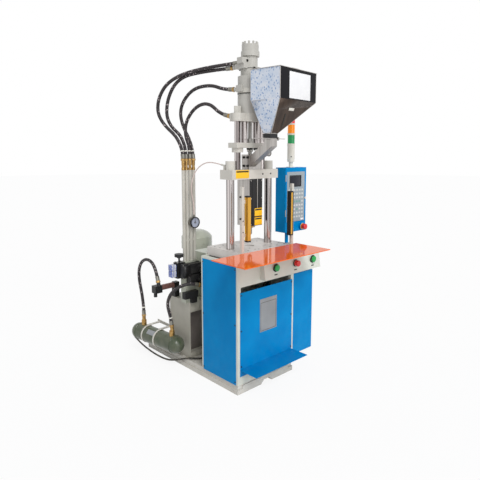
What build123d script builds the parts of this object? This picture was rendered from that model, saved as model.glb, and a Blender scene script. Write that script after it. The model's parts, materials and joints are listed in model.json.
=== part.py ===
"""Small vertical injection moulding machine, floor standing, in millimetres with +Z up.

The front of the machine faces -Y. The origin is on the floor, under the injection axis.
"""

import math
import os

from build123d import *

os.makedirs("parts", exist_ok=True)

# Clearances
RUN = 0.05
REST = 0.3

# Base and cabinet
X0 = -262.5
X1 = 242.5
FRONT = -168.0
CAB_BACK = 174.0
BASE_BACK = 832.0
DECK = 60.0
CAB_TOP = 815.0
POST = 26.0
PANEL = 2.0
BED_TOP = 870.0
BED = (-217.5, 237.5, FRONT, 167.0)

# Clamp unit
TIE_X = 167.5
TIE_R = 25.0
TIE_NECK_R = 18.0
CROSS_Z = (480.0, 540.0)
PLATEN = (-201.5, 200.5, -56.0, 56.0)
PLATEN_FOOT = 1303.0
PLATEN_T = 58.0
PLATEN_Z = (PLATEN_FOOT, PLATEN_FOOT + PLATEN_T)
NUT_R = 29.0
NUT_H = 53.0
NUT_TOP = PLATEN_Z[1] + NUT_H
CLAMP_R = 75.0
CLAMP_TOP = 330.0
CLAMP_ROD_R = 28.0
EJECTOR_R = 14.0
BED_HOLE_R = 30.0

# Injection unit
GUIDE_X = 107.0
GUIDE_R = 19.5
GUIDE_NECK_R = 13.0
SLIDE_LIFT = 133.5
SLIDE_T = 31.1
SLIDE_Z = (PLATEN_Z[1] + SLIDE_LIFT, PLATEN_Z[1] + SLIDE_LIFT + SLIDE_T)
STROKE = 100.0
GUIDE_LENGTH = 294.5
TOP_T = 49.1
TOP_Z = (PLATEN_Z[1] + GUIDE_LENGTH, PLATEN_Z[1] + GUIDE_LENGTH + TOP_T)
GUIDE_END = TOP_Z[1] + 30.3
TOP_END_R = 37.0
PISTON_X = 50.0
PISTON_R = 21.5
PISTON_TOP = TOP_Z[1] + 35.4
SCREW_R = 12.5
BARREL_R = 30.0
BARREL_FOOT = PLATEN_Z[0] - 299.0
COVER_SIDE = 112.0
CYL_R = 77.6
CYL_H = 266.4
CYL_TOP = TOP_Z[1] + CYL_H
MOTOR_H = 164.0
MOTOR_TOP = CYL_TOP + MOTOR_H
THROAT = (-52.0, 52.0, -46.0, 22.0)
THROAT_H = 93.0

# Hopper
HOPPER_AT = (-85.6, -93.0)
HOPPER_TURN = 6.3
HOPPER_W = 380.0
HOPPER_D = 215.0
CHUTE_TOP = PLATEN_Z[1] + 185.0
GATE_T = 4.0
GATE_Z = (CHUTE_TOP + REST, CHUTE_TOP + REST + GATE_T)
OUTLET = (-28.0, -200.5)
OUTLET_SIDE = 55.0
COLLAR_H = 24.7
OUTLET_Z = GATE_Z[1] + COLLAR_H
FUNNEL_H = 199.0
HOPPER_BREAK = OUTLET_Z + FUNNEL_H
HOPPER_H = 176.0
HOPPER_TOP = HOPPER_BREAK + HOPPER_H
SHEET = 2.5

# Hydraulics
PIPE_Y = 363.0
PIPE_X = (-254.0, -229.0, -200.0, -171.0)
PIPE_R = 11.5
PIPE_FOOT = 745.0
PIPE_TOP = 1352.0
HOSE_D = 22.0
HOSE_FOOT = 1412.0
COOLER_R = 59.0
COOLER_REAR = (-364.5, 790.0, 170.0)
COOLER_FRONT = (-319.5, 377.0, 170.0)

# Rear shelf, seats of the curtain posts, push buttons
SHELF_Z = (822.0, 828.0)
SEAT_DEPTH = 1.0
BUTTON_X = (25.0, 212.0, 388.0)
BUTTON_Z = 756.0
STOP_AT = (476.0, 950.0)
COLLAR_R = 22.0
STEM_R = 6.0


def swing(x, end, rise, corners):
    """Corner points of a head hose, in the upright plane from its pipe to its port.

    The corners are heights above the hose's foot for the rise it was drawn with, and follow the port's height.
    """
    slope = (end[0] - x) / (end[1] - PIPE_Y)
    stretch = (end[2] - HOSE_FOOT) / rise
    path = [(x, PIPE_Y, HOSE_FOOT)]
    path += [(x + slope * (y - PIPE_Y), y, HOSE_FOOT + up * stretch) for y, up in corners]
    return path + [end]


HOSE_1 = swing(PIPE_X[0], (-50, 39, CYL_TOP + 42), 601,
               [(363, 120), (532, 274), (537, 393), (458, 528), (245, 585)])
HOSE_2 = swing(PIPE_X[1], (-66, 85, CYL_TOP + 14), 573,
               [(363, 136), (505, 248), (505, 388), (430, 538), (250, 566)])
HOSE_3 = swing(PIPE_X[3], (-88, 45, CYL_TOP - 121), 438,
               [(363, 93), (484, 258), (480, 368), (372, 473), (220, 488), (118, 444)])
HOSE_4 = swing(PIPE_X[2], (-118, 55, TOP_Z[1] - 16.6), 276,
               [(363, 86), (414, 166), (410, 256), (325, 353), (215, 376), (118, 290)])
COOLER_A = [(-355, 733, 290), (-355, 733, 396), (-361, 788, 590), (-359, 748, 694), (-361, 645, 732),
            (-364, 549, 688), (-368, 514, 586)]
COOLER_B = [(-329, 421, 290), (-335, 425, 362), (-360, 419, 432), (-375, 392, 498), (-376, 343, 560),
            (-338, 297, 604), (-272, 266, 616), (-206, 262, 592)]
GAUGE_TOP = 1056.0
TUBE_RISE = PLATEN_Z[1] + 31 - GAUGE_TOP
GAUGE_TUBE = [(x, y, GAUGE_TOP + up / 336 * TUBE_RISE) for x, y, up in
              ((-185, 62, 336), (-189, 135, 350), (-196, 212, 346), (-208, 280, 306), (-215, 322, 236),
               (-214, 333, 154), (-196, 331, 72), (-196, 331, 0))]
POWER_CORD = [(-245, 1062, 6.5), (-276, 930, 6.5), (-298, 790, 6.5), (-309, 650, 6.5), (-302, 520, 9),
              (-290, 420, 40), (-268, 345, 70), (-215, 290, 70), (-160, 250, 71), (-120, 196, 72)]

made = []


def keep(name, part):
    """Label a finished piece and write it to its own file."""
    part.label = name
    export_step(part, "parts/" + name + ".step")
    made.append(name)


def block(x0, x1, y0, y1, z0, z1, mode=Mode.ADD):
    """Add or cut a box given by its limits."""
    with Locations(((x0 + x1) / 2, (y0 + y1) / 2, (z0 + z1) / 2)):
        Box(x1 - x0, y1 - y0, z1 - z0, mode=mode)


def post(x, y, z0, z1, r, mode=Mode.ADD):
    """Add or cut an upright cylinder given by its ends."""
    with Locations((x, y, (z0 + z1) / 2)):
        Cylinder(r, z1 - z0, mode=mode)


def bar_x(x0, x1, y, z, r, mode=Mode.ADD):
    """Add or cut a cylinder lying along X."""
    with Locations(((x0 + x1) / 2, y, z)):
        Cylinder(r, x1 - x0, rotation=(0, 90, 0), mode=mode)


def bar_y(x, y0, y1, z, r, mode=Mode.ADD):
    """Add or cut a cylinder lying along Y."""
    with Locations((x, (y0 + y1) / 2, z)):
        Cylinder(r, y1 - y0, rotation=(90, 0, 0), mode=mode)


def stub(inner, end, length, r):
    """Add a fitting that carries on in line from a hose's end."""
    d = (Vector(*end) - Vector(*inner)).normalized()
    with Locations(Plane(origin=Vector(*end) + d * (length / 2), z_dir=d)):
        Cylinder(r, length)


def tube(name, points, diameter):
    """Sweep a round hose through its corner points, each corner an arc."""
    runs = [math.dist(a, b) for a, b in zip(points, points[1:])]
    radii = []
    for i in range(1, len(points) - 1):
        a = Vector(*points[i]) - Vector(*points[i - 1])
        b = Vector(*points[i + 1]) - Vector(*points[i])
        turn = math.radians(a.get_angle(b))
        radii.append(0.45 * min(runs[i - 1], runs[i]) / math.tan(turn / 2))
    with BuildPart() as hose:
        with BuildLine() as path:
            FilletPolyline(*points, radius=radii)
        with BuildSketch(Plane(origin=path.line @ 0, z_dir=path.line % 0)):
            Circle(diameter / 2)
        sweep(path=path.line)
    length = sum(edge.length for edge in path.edges())
    area = math.pi * diameter ** 2 / 4
    print(name, "length", round(length, 1), "least radius", round(min(radii), 1),
          "volume share", round(hose.part.volume / (area * length), 4))
    keep(name, hose.part)


# Base frame
with BuildPart() as base_frame:
    block(X0 + 6, X1 - 6, FRONT + 6, BASE_BACK - 6, 50, DECK)
    block(X0, X0 + 44, FRONT, BASE_BACK, 0, 30)
    block(X0 + 6, X0 + 44, FRONT + 6, BASE_BACK - 6, 30, 50)
    block(X1 - 44, X1, FRONT, BASE_BACK, 0, 30)
    block(X1 - 44, X1 - 6, FRONT + 6, BASE_BACK - 6, 30, 50)
    block(X0 + 44, X1 - 44, FRONT, FRONT + 40, 0, 50)
    block(X0 + 44, X1 - 44, BASE_BACK - 46, BASE_BACK - 6, 0, 50)
    block(X0 + 44, X1 - 44, -30, 30, 0, 50)
    with BuildSketch(Plane.XZ.offset(-FRONT + 1)) as fork:
        with BuildLine():
            Polyline((-55.5, -1), (39.5, -1), (39.5, 4), (15.5, 25), (-30.5, 25), (-55.5, 4), close=True)
        make_face()
    extrude(amount=-43, mode=Mode.SUBTRACT)
    for x in (X0 + 16, X1 - 16):
        for y in (-130.0, 794.0):
            post(x, y, -1, 61, 7, mode=Mode.SUBTRACT)
keep("base_frame", base_frame.part)

# Cabinet frame with its fascia, toe plate, back and rear shelf
with BuildPart() as cabinet_frame:
    for x in (X0, X1 - POST):
        for y in (FRONT, CAB_BACK - POST):
            block(x, x + POST, y, y + POST, DECK, CAB_TOP)
    block(X0 + POST, X1 - POST, FRONT, FRONT + 3, DECK, 157)
    block(X0 + POST, X1 - POST, FRONT, FRONT + 3, 670, CAB_TOP)
    block(X0 + POST, X1 - POST, CAB_BACK - 3, CAB_BACK, DECK, CAB_TOP)
    block(X1 - 3, X1, FRONT + POST, CAB_BACK - POST, DECK, CAB_TOP)
    for z in (DECK, CAB_TOP - 26):
        block(X0 + 2, X0 + POST, FRONT + POST, CAB_BACK - POST, z, z + 26)
    for z in (DECK, CAB_TOP - 26):
        block(X0 + POST, X1 - POST, FRONT + 3, FRONT + POST, z, z + 26)
        block(X0 + POST, X1 - POST, CAB_BACK - POST, CAB_BACK - 3, z, z + 26)
    block(X0 + 40, X1 - 20, CAB_BACK, 290, *SHELF_Z)
    block(X0 + 40, X1 - 20, CAB_BACK, CAB_BACK + 5, CAB_TOP - 35, SHELF_Z[0])
    stub(POWER_CORD[-2], POWER_CORD[-1], 29, 10)
keep("cabinet_frame", cabinet_frame.part)

with BuildPart() as left_panel:
    block(X0 - PANEL, X0, -154, 160, DECK, 800)
keep("left_panel", left_panel.part)

with BuildPart() as front_panel:
    block(X0 + 20, X1 - 15, FRONT - PANEL, FRONT, 157.5, 638)
keep("front_panel", front_panel.part)

with BuildPart() as foot_guard:
    block(X0 + 20, X1 - 15, -308, FRONT, 154, 157)
    block(X0 + 20, X1 - 15, FRONT - 3, FRONT, 112, 154)
keep("foot_guard", foot_guard.part)

with BuildPart() as panel_screws:
    for y in (-148, 154):
        for z in (80, 440, 780):
            bar_x(X0 - PANEL - 3, X0 - PANEL, y, z, 4)
    for x in (X0 + 28, X1 - 23):
        for z in (176, 400, 622):
            bar_y(x, FRONT - PANEL - 3, FRONT - PANEL, z, 4)
keep("panel_screws", panel_screws.part)

# Bed plate with the ejector guide hung under it
with BuildPart() as bed_plate:
    block(*BED, CAB_TOP, BED_TOP)
    post(0, 0, CAB_TOP - 2, BED_TOP + 1, BED_HOLE_R, mode=Mode.SUBTRACT)
    for x in (-TIE_X, TIE_X):
        post(x, 0, CAB_TOP - 1, BED_TOP + 1, TIE_R + RUN, mode=Mode.SUBTRACT)
    for x in (-70, 70):
        for y in (-50, 50):
            post(x, y, CAB_TOP - 1, BED_TOP + 1, 6.5, mode=Mode.SUBTRACT)
    for x in (-46, 38):
        block(x, x + 8, -35, 35, 700, CAB_TOP)
    block(-46, 46, -35, 35, 700, 715)
    post(0, 0, 699, 716, EJECTOR_R + RUN, mode=Mode.SUBTRACT)
    for x0, x1 in ((BED[0] - 1, -206.5), (218.5, BED[1] + 1)):
        block(x0, x1, FRONT - 1, -130.5, BED_TOP - SEAT_DEPTH, BED_TOP + 1, mode=Mode.SUBTRACT)
keep("bed_plate", bed_plate.part)

with BuildPart() as work_table:
    block(-462.5, 262.5, FRONT - 275, FRONT - 1, BED_TOP, BED_TOP + 5)
    block(-205, 218, FRONT - 3, FRONT, BED_TOP - 46, BED_TOP)
    block(-205, 218, FRONT - 3, FRONT - 1, BED_TOP - 1, BED_TOP)
    for x in (-180, 0, 180):
        with BuildSketch(Plane.YZ.offset(x)):
            with BuildLine():
                Polyline((FRONT - 3, BED_TOP), (FRONT - 232, BED_TOP), (FRONT - 232, BED_TOP - 12),
                         (FRONT - 3, BED_TOP - 42), close=True)
            make_face()
        extrude(amount=3, both=True)
keep("work_table", work_table.part)

# Console below the table, a shallow folded box with a sloping face
with BuildPart() as console:
    with BuildSketch(Plane.YZ.offset(-73)):
        with BuildLine():
            Polyline((FRONT, 690), (-213, 690), (-198, 800), (FRONT, 800), close=True)
        make_face()
    extrude(amount=543)
    with BuildSketch(Plane.YZ.offset(-70)):
        with BuildLine():
            Polyline((FRONT - 3, 693), (-209, 693), (-195, 797), (FRONT - 3, 797), close=True)
        make_face()
    extrude(amount=537, mode=Mode.SUBTRACT)
    for x in BUTTON_X:
        bar_y(x, -210, -200, BUTTON_Z, COLLAR_R)
        bar_y(x, -211, -190, BUTTON_Z, STEM_R + RUN, mode=Mode.SUBTRACT)
keep("console", console.part)

with BuildPart() as electrical_box:
    block(X1, 442.5, FRONT, 130, 108, 667)
    block(X1 + 3, 439.5, FRONT + 3, 127, 111, 664, mode=Mode.SUBTRACT)
keep("electrical_box", electrical_box.part)

with BuildPart() as control_post:
    post(378, 17, 675, 910, 12.5)
    post(378, 17, 667, 675, 28)
    post(378, 17, 910, 918, 28)
keep("control_post", control_post.part)

with BuildPart() as control_box:
    block(308.5, 527.5, -28, 61, 918, 1364)
    block(311.5, 524.5, -25, 58, 921, 1361, mode=Mode.SUBTRACT)
    bar_y(STOP_AT[0], -46, -28, STOP_AT[1], COLLAR_R)
    bar_y(STOP_AT[0], -47, -24, STOP_AT[1], STEM_R + RUN, mode=Mode.SUBTRACT)
keep("control_box", control_box.part)

with BuildPart() as signal_tower:
    for z0, z1, r in ((1364, 1368, 32), (1368, 1403, 14), (1403, 1517, 25), (1517, 1528, 27),
                      (1528, 1585, 25), (1585, 1597, 27), (1597, 1654, 25), (1654, 1665, 27),
                      (1665, 1722, 25), (1722, 1730, 27)):
        post(413.5, 17, z0, z1, r)
keep("signal_tower", signal_tower.part)

with BuildPart() as curtain_posts:
    for x in (-216, 228):
        block(x - 9, x + 9, -165, -147, BED_TOP + 8, 1268)
        block(x - 9, x + 9, -167, -131, BED_TOP - SEAT_DEPTH, BED_TOP + 8)
    for z in (980, 1180):
        block(-207, -192, -160, -154, z - 10, z + 10)
        block(211, 219, -160, -154, z - 10, z + 10)
keep("curtain_posts", curtain_posts.part)

with BuildPart() as curtain_bars:
    block(-192, -167, -181, -153, 940, 1214)
    block(187, 211, -185, -153, 936, 1222)
keep("curtain_bars", curtain_bars.part)

# Clamp unit
with BuildPart() as clamp_cylinder:
    post(0, 0, DECK, CLAMP_TOP, CLAMP_R)
    post(0, 0, 74, 312, 60, mode=Mode.SUBTRACT)
    post(0, 0, 311, CLAMP_TOP + 1, CLAMP_ROD_R + RUN, mode=Mode.SUBTRACT)
    block(-95, 95, -95, 95, DECK, 72)
    post(0, 0, 71, 76, 60, mode=Mode.SUBTRACT)
keep("clamp_cylinder", clamp_cylinder.part)

with BuildPart() as lower_crosshead:
    post(0, 0, CROSS_Z[0] - 265, CROSS_Z[0], CLAMP_ROD_R)
    post(0, 0, CROSS_Z[0] - 265, CROSS_Z[0] - 235, 60 - RUN)
    block(-205, 205, -50, 50, *CROSS_Z)
    for x in (-TIE_X, TIE_X):
        post(x, 0, CROSS_Z[0] - 1, CROSS_Z[1] + 1, TIE_NECK_R + REST, mode=Mode.SUBTRACT)
keep("lower_crosshead", lower_crosshead.part)

with BuildPart() as tie_bars:
    for x in (-TIE_X, TIE_X):
        post(x, 0, CROSS_Z[1], PLATEN_Z[0], TIE_R)
        post(x, 0, CROSS_Z[0] - 25, CROSS_Z[1], TIE_NECK_R)
        post(x, 0, PLATEN_Z[0], NUT_TOP - 14, TIE_NECK_R)
keep("tie_bars", tie_bars.part)

with BuildPart() as upper_platen:
    block(*PLATEN, *PLATEN_Z)
    for x in (-TIE_X, TIE_X):
        post(x, 0, PLATEN_Z[0] - 1, PLATEN_Z[1] + 1, TIE_NECK_R + REST, mode=Mode.SUBTRACT)
    for x in (-GUIDE_X, GUIDE_X):
        post(x, 0, PLATEN_Z[0] + 18, PLATEN_Z[1] + 1, GUIDE_NECK_R + REST, mode=Mode.SUBTRACT)
    post(0, 0, PLATEN_Z[0] - 1, PLATEN_Z[1] + 1, BARREL_R + REST, mode=Mode.SUBTRACT)
    for x in (-70, 70):
        for y in (-35, 35):
            post(x, y, PLATEN_Z[0] - 1, PLATEN_Z[0] + 26, 6.5, mode=Mode.SUBTRACT)
    post(-183, 36, PLATEN_Z[1], GAUGE_TUBE[0][2] + 1, 7)
    stub(GAUGE_TUBE[1], GAUGE_TUBE[0], 26, 6)
keep("upper_platen", upper_platen.part)

with BuildPart() as rod_nuts:
    for x in (-TIE_X, TIE_X):
        post(x, 0, PLATEN_Z[1], NUT_TOP, NUT_R)
        post(x, 0, PLATEN_Z[1] - 1, NUT_TOP - 12, TIE_NECK_R + REST, mode=Mode.SUBTRACT)
        post(x, 0, CROSS_Z[0] - 30, CROSS_Z[0], NUT_R)
        post(x, 0, CROSS_Z[0] - 27, CROSS_Z[0] + 1, TIE_NECK_R + REST, mode=Mode.SUBTRACT)
    for x in (-GUIDE_X, GUIDE_X):
        with BuildSketch(Plane.XY.offset(TOP_Z[1])):
            with Locations((x, 0)):
                RegularPolygon(22, 6)
        extrude(amount=42)
        post(x, 0, TOP_Z[1] - 1, GUIDE_END + 3, GUIDE_NECK_R + REST, mode=Mode.SUBTRACT)
keep("rod_nuts", rod_nuts.part)

# Injection unit
with BuildPart() as guide_rods:
    for x in (-GUIDE_X, GUIDE_X):
        post(x, 0, PLATEN_Z[1], TOP_Z[0], GUIDE_R)
        post(x, 0, PLATEN_Z[0] + 21, PLATEN_Z[1], GUIDE_NECK_R)
        post(x, 0, TOP_Z[0], GUIDE_END, GUIDE_NECK_R)
keep("guide_rods", guide_rods.part)

with BuildPart() as top_plate:
    with BuildSketch(Plane.XY.offset(TOP_Z[0])):
        SlotCenterToCenter(2 * GUIDE_X, 2 * TOP_END_R)
        Circle(CYL_R)
        with Locations((-118, 28)):
            Rectangle(30, 26)
    extrude(amount=TOP_Z[1] - TOP_Z[0])
    for x in (-GUIDE_X, GUIDE_X):
        post(x, 0, TOP_Z[0] - 1, TOP_Z[1] + 1, GUIDE_NECK_R + REST, mode=Mode.SUBTRACT)
    for x in (-PISTON_X, PISTON_X):
        post(x, 0, TOP_Z[0] - 1, TOP_Z[1] + 1, PISTON_R + RUN, mode=Mode.SUBTRACT)
    post(0, 0, TOP_Z[0] - 1, TOP_Z[1] + 1, SCREW_R + RUN, mode=Mode.SUBTRACT)
    stub(HOSE_4[-2], HOSE_4[-1], 22, 12)
keep("top_plate", top_plate.part)

with BuildPart() as injection_cylinder:
    post(0, 0, TOP_Z[1], CYL_TOP - 153, CYL_R)
    post(0, 0, CYL_TOP - 153, CYL_TOP - 121, CYL_R - 3)
    post(0, 0, CYL_TOP - 121, CYL_TOP - 42, CYL_R - 1)
    post(0, 0, CYL_TOP - 42, CYL_TOP, 59)
    block(-98, -40, -22, 24, HOSE_3[-1][2] - 18, HOSE_3[-1][2] + 22)
    stub(HOSE_3[-2], HOSE_3[-1], 24, 12)
    for x in (-PISTON_X, PISTON_X):
        post(x, 0, TOP_Z[1] - 1, PISTON_TOP + STROKE + 10, PISTON_R + 1, mode=Mode.SUBTRACT)
    post(0, 0, TOP_Z[1] - 1, CYL_TOP + 1, SCREW_R + 2, mode=Mode.SUBTRACT)
keep("injection_cylinder", injection_cylinder.part)

with BuildPart() as hydraulic_motor:
    post(0, 0, CYL_TOP, CYL_TOP + 12, 59)
    post(0, 0, CYL_TOP + 12, MOTOR_TOP - 87, 46)
    post(0, 0, MOTOR_TOP - 87, MOTOR_TOP - 57, 57)
    post(0, 0, MOTOR_TOP - 57, MOTOR_TOP - 16, 52)
    for i in range(10):
        a = math.radians(36 * i)
        post(44 * math.cos(a), 44 * math.sin(a), MOTOR_TOP - 16, MOTOR_TOP, 6.5)
    block(-98, -20, -32, 14, HOSE_1[-1][2] - 15, HOSE_1[-1][2] + 21)
    block(-84, -20, -32, 46, CYL_TOP, HOSE_1[-1][2] - 14)
    stub(HOSE_1[-2], HOSE_1[-1], 36, 11)
    stub(HOSE_2[-2], HOSE_2[-1], 48, 11)
    post(0, 0, CYL_TOP - 1, MOTOR_TOP - 45, SCREW_R + RUN, mode=Mode.SUBTRACT)
keep("hydraulic_motor", hydraulic_motor.part)

with BuildPart() as injection_crosshead:
    with BuildSketch(Plane.XY.offset(SLIDE_Z[0])):
        Rectangle(295, 80)
    extrude(amount=SLIDE_Z[1] - SLIDE_Z[0])
    for x in (-GUIDE_X, GUIDE_X):
        post(x, 0, SLIDE_Z[0] - 27.5, SLIDE_Z[0], 35)
        post(x, 0, SLIDE_Z[0] - 28, SLIDE_Z[1] + 1, GUIDE_R + RUN, mode=Mode.SUBTRACT)
    post(0, 0, SLIDE_Z[0] - 1, SLIDE_Z[1] + 1, SCREW_R + RUN, mode=Mode.SUBTRACT)
    for x in (-42, -16, 16, 42):
        post(x, -26, SLIDE_Z[0] - 16.5, SLIDE_Z[0], 6)
keep("injection_crosshead", injection_crosshead.part)

with BuildPart() as piston_rods:
    for x in (-PISTON_X, PISTON_X):
        post(x, 0, SLIDE_Z[1], PISTON_TOP, PISTON_R)
keep("piston_rods", piston_rods.part)

with BuildPart() as screw:
    post(0, 0, BARREL_FOOT + 36, CYL_TOP + 13, SCREW_R)
    post(0, 0, SLIDE_Z[1] + REST, SLIDE_Z[1] + 26, 24)
    post(0, 0, SLIDE_Z[0] - 24, SLIDE_Z[0] - REST, 19)
    with Locations((0, 0, BARREL_FOOT + 26)):
        Cone(2, SCREW_R, 20)
keep("screw", screw.part)

with BuildPart() as throat_block:
    block(*THROAT, PLATEN_Z[1], PLATEN_Z[1] + THROAT_H)
    post(0, 0, PLATEN_Z[1] - 1, PLATEN_Z[1] + THROAT_H + 1, SCREW_R + 1, mode=Mode.SUBTRACT)
    block(-45, -2, THROAT[2] - 1, 0, PLATEN_Z[1] + 28, PLATEN_Z[1] + 68, mode=Mode.SUBTRACT)
    block(-20, 14, -14, 0, PLATEN_Z[1] + 28, PLATEN_Z[1] + 68, mode=Mode.SUBTRACT)
keep("throat_block", throat_block.part)

with BuildPart() as barrel:
    post(0, 0, BARREL_FOOT, PLATEN_Z[1], BARREL_R)
    post(0, 0, BARREL_FOOT - 54, BARREL_FOOT, 15)
    with Locations((0, 0, BARREL_FOOT - 60)):
        Cone(6, 15, 12)
    post(0, 0, BARREL_FOOT + 11, PLATEN_Z[1] + 1, SCREW_R + RUN, mode=Mode.SUBTRACT)
    post(0, 0, BARREL_FOOT - 67, BARREL_FOOT + 12, 2.5, mode=Mode.SUBTRACT)
keep("barrel", barrel.part)

# Heater cover, a square sheet housing open towards the platen
with BuildPart() as heater_cover:
    half = COVER_SIDE / 2
    block(-half, half, -half, half, BARREL_FOOT + 2, PLATEN_Z[0])
    block(-half + 2, half - 2, -half + 2, half - 2, BARREL_FOOT + 5, PLATEN_Z[0] + 1, mode=Mode.SUBTRACT)
    post(0, 0, BARREL_FOOT + 1, BARREL_FOOT + 6, BARREL_R + REST, mode=Mode.SUBTRACT)
keep("heater_cover", heater_cover.part)

# Feed chute, an inclined square channel with a clean-out stub
with BuildPart() as feed_chute:
    with BuildSketch(Plane.YZ.offset(-49)):
        with BuildLine():
            Polyline((-229, CHUTE_TOP), (-172, CHUTE_TOP), (-172, CHUTE_TOP - 16), (THROAT[2], PLATEN_Z[1] + 79),
                     (THROAT[2], PLATEN_Z[1] + 18), (-229, CHUTE_TOP - 44), close=True)
        make_face()
    extrude(amount=50)
    with BuildSketch(Plane.YZ.offset(-45)):
        with BuildLine():
            Polyline((-223, CHUTE_TOP + 1), (-178, CHUTE_TOP + 1), (-178, CHUTE_TOP - 18),
                     (THROAT[2] + 1, PLATEN_Z[1] + 73), (THROAT[2] + 1, PLATEN_Z[1] + 24),
                     (-223, CHUTE_TOP - 40), close=True)
        make_face()
    extrude(amount=42, mode=Mode.SUBTRACT)
    bar_x(0.9, 32, -117, CHUTE_TOP - 84, 14)
    bar_x(28, 38, -117, CHUTE_TOP - 84, 18)
keep("feed_chute", feed_chute.part)

with BuildPart() as gate_slide:
    block(-140, 0, -225, -176, *GATE_Z)
    block(-126, -76, -218, -182, GATE_Z[0] - 1, GATE_Z[1] + 1, mode=Mode.SUBTRACT)
    bar_x(0, 103, -200.5, GATE_Z[0] + GATE_T / 2, 2)
    bar_x(32, 42, -200.5, GATE_Z[0] + GATE_T / 2, 11)
keep("gate_slide", gate_slide.part)


def hopper_frame(z):
    """Plane on the hopper's turned rear left corner at a height."""
    a = math.radians(HOPPER_TURN)
    return Plane(origin=(*HOPPER_AT, z), x_dir=(math.cos(a), math.sin(a), 0), z_dir=(0, 0, 1))


def hopper_funnel(inset, drop, mode=Mode.ADD):
    """Loft the hopper's sloping part between its break and its outlet."""
    with BuildSketch(hopper_frame(HOPPER_BREAK + drop)) as upper:
        with Locations((HOPPER_W / 2, -HOPPER_D / 2)):
            Rectangle(HOPPER_W - 2 * inset, HOPPER_D - 2 * inset)
    with BuildSketch(Plane.XY.offset(OUTLET_Z - drop)) as lower:
        with Locations(OUTLET):
            Rectangle(OUTLET_SIDE - 2 * inset, OUTLET_SIDE - 2 * inset)
    loft(sections=[upper.sketch.face(), lower.sketch.face()], ruled=True, mode=mode)


with BuildPart() as hopper:
    hopper_funnel(0, 0)
    with BuildSketch(hopper_frame(HOPPER_BREAK)):
        with Locations((HOPPER_W / 2, -HOPPER_D / 2)):
            Rectangle(HOPPER_W, HOPPER_D)
    extrude(amount=HOPPER_TOP - HOPPER_BREAK)
    block(OUTLET[0] - 30, OUTLET[0] + 30, OUTLET[1] - 30, OUTLET[1] + 30, GATE_Z[1] + REST, OUTLET_Z)
    hopper_funnel(SHEET, 0.5, mode=Mode.SUBTRACT)
    with BuildSketch(hopper_frame(HOPPER_BREAK)):
        with Locations((HOPPER_W / 2, -HOPPER_D / 2)):
            Rectangle(HOPPER_W - 2 * SHEET, HOPPER_D - 2 * SHEET)
    extrude(amount=HOPPER_TOP - HOPPER_BREAK + 1, mode=Mode.SUBTRACT)
    block(OUTLET[0] - 22, OUTLET[0] + 22, OUTLET[1] - 22, OUTLET[1] + 22, GATE_Z[1] - 1, OUTLET_Z + 5,
          mode=Mode.SUBTRACT)
keep("hopper", hopper.part)

with BuildPart() as hopper_lid:
    with BuildSketch(hopper_frame(HOPPER_TOP)):
        with Locations((HOPPER_W / 2, -HOPPER_D / 2)):
            Rectangle(HOPPER_W + 8, HOPPER_D + 8)
    extrude(amount=3)
    with BuildSketch(hopper_frame(HOPPER_TOP + 3)):
        with Locations((HOPPER_W / 2, -HOPPER_D + 30)):
            Rectangle(70, 14)
    extrude(amount=10)
keep("hopper_lid", hopper_lid.part)

with BuildPart() as ejector:
    post(0, 0, 650, 780, EJECTOR_R)
    post(0, 0, 640, 650, 32)
keep("ejector", ejector.part)


# Push buttons and stops
def push_button(name, x, y0, y1, z, r, stem_y):
    """Build a button head with its stem."""
    with BuildPart() as button:
        bar_y(x, y0, y1, z, r)
        bar_y(x, y1, stem_y, z, STEM_R)
    keep(name, button.part)


push_button("button_left", BUTTON_X[0], -224, -214.5, BUTTON_Z, 16, -186)
push_button("button_right", BUTTON_X[2], -224, -214.5, BUTTON_Z, 16, -186)
push_button("console_stop", BUTTON_X[1], -236, -216, BUTTON_Z, 20, -186)
push_button("control_stop", STOP_AT[0], -72, -52, STOP_AT[1], 20, -20)

# Oil tank, motor and pump
with BuildPart() as tank:
    block(-238, 227, 335, 570, DECK, 460)
    block(-234, 223, 334, 380, 100, 388, mode=Mode.SUBTRACT)
    block(-234, 223, 384, 566, 64, 456, mode=Mode.SUBTRACT)
keep("tank", tank.part)

with BuildPart() as pump:
    post(-73, 463, 460, 600, 70)
    block(-150, -110, 400, 440, 470, 580)
    block(-155, -110, 356, 404, 560, 598)
keep("pump", pump.part)

with BuildPart() as motor:
    post(-73, 463, 600, 614, 108)
    post(-73, 463, 614, 800, 98)
    post(-73, 463, 800, 880, 108)
    with BuildSketch(Plane.XZ.offset(-463)):
        with BuildLine():
            Line((-73, 880), (-73, 926))
            ThreePointArc((-73, 926), (-73 + 80, 910), (-73 + 108, 880))
            Line((-73 + 108, 880), (-73, 880))
        make_face()
    revolve(axis=Axis((-73, 463, 0), (0, 0, 1)))
    block(-20, 40, 362, 420, 660, 740)
keep("motor", motor.part)

with BuildPart() as manifold:
    block(-270, -158, 335, 388, 460, PIPE_FOOT)
keep("manifold", manifold.part)

with BuildPart() as control_valves:
    block(-330, -270, 340, 386, 640, 745)
    block(-372, -330, 344, 382, 655, 692)
    block(-372, -330, 344, 382, 698, 735)
    block(-262, -166, 285, 335, 600, 665)
    block(-262, -166, 285, 335, 672, 737)
    bar_y(-190, 262, 285, 632, 24)
    bar_y(-190, 262, 285, 704, 24)
    block(-198, -166, 246, 285, 580, 612)
    stub(COOLER_B[-2], COOLER_B[-1], 24, 12)
    block(-262, -166, 300, 335, 665, 672)
    post(-300, 363, 725, 746, 6 + RUN, mode=Mode.SUBTRACT)
keep("control_valves", control_valves.part)

with BuildPart() as hand_knob:
    post(-300, 363, 730, 782, 6)
    post(-300, 363, 774, 782, 14)
    post(-300, 363, 782, 800, 30)
keep("hand_knob", hand_knob.part)

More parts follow.
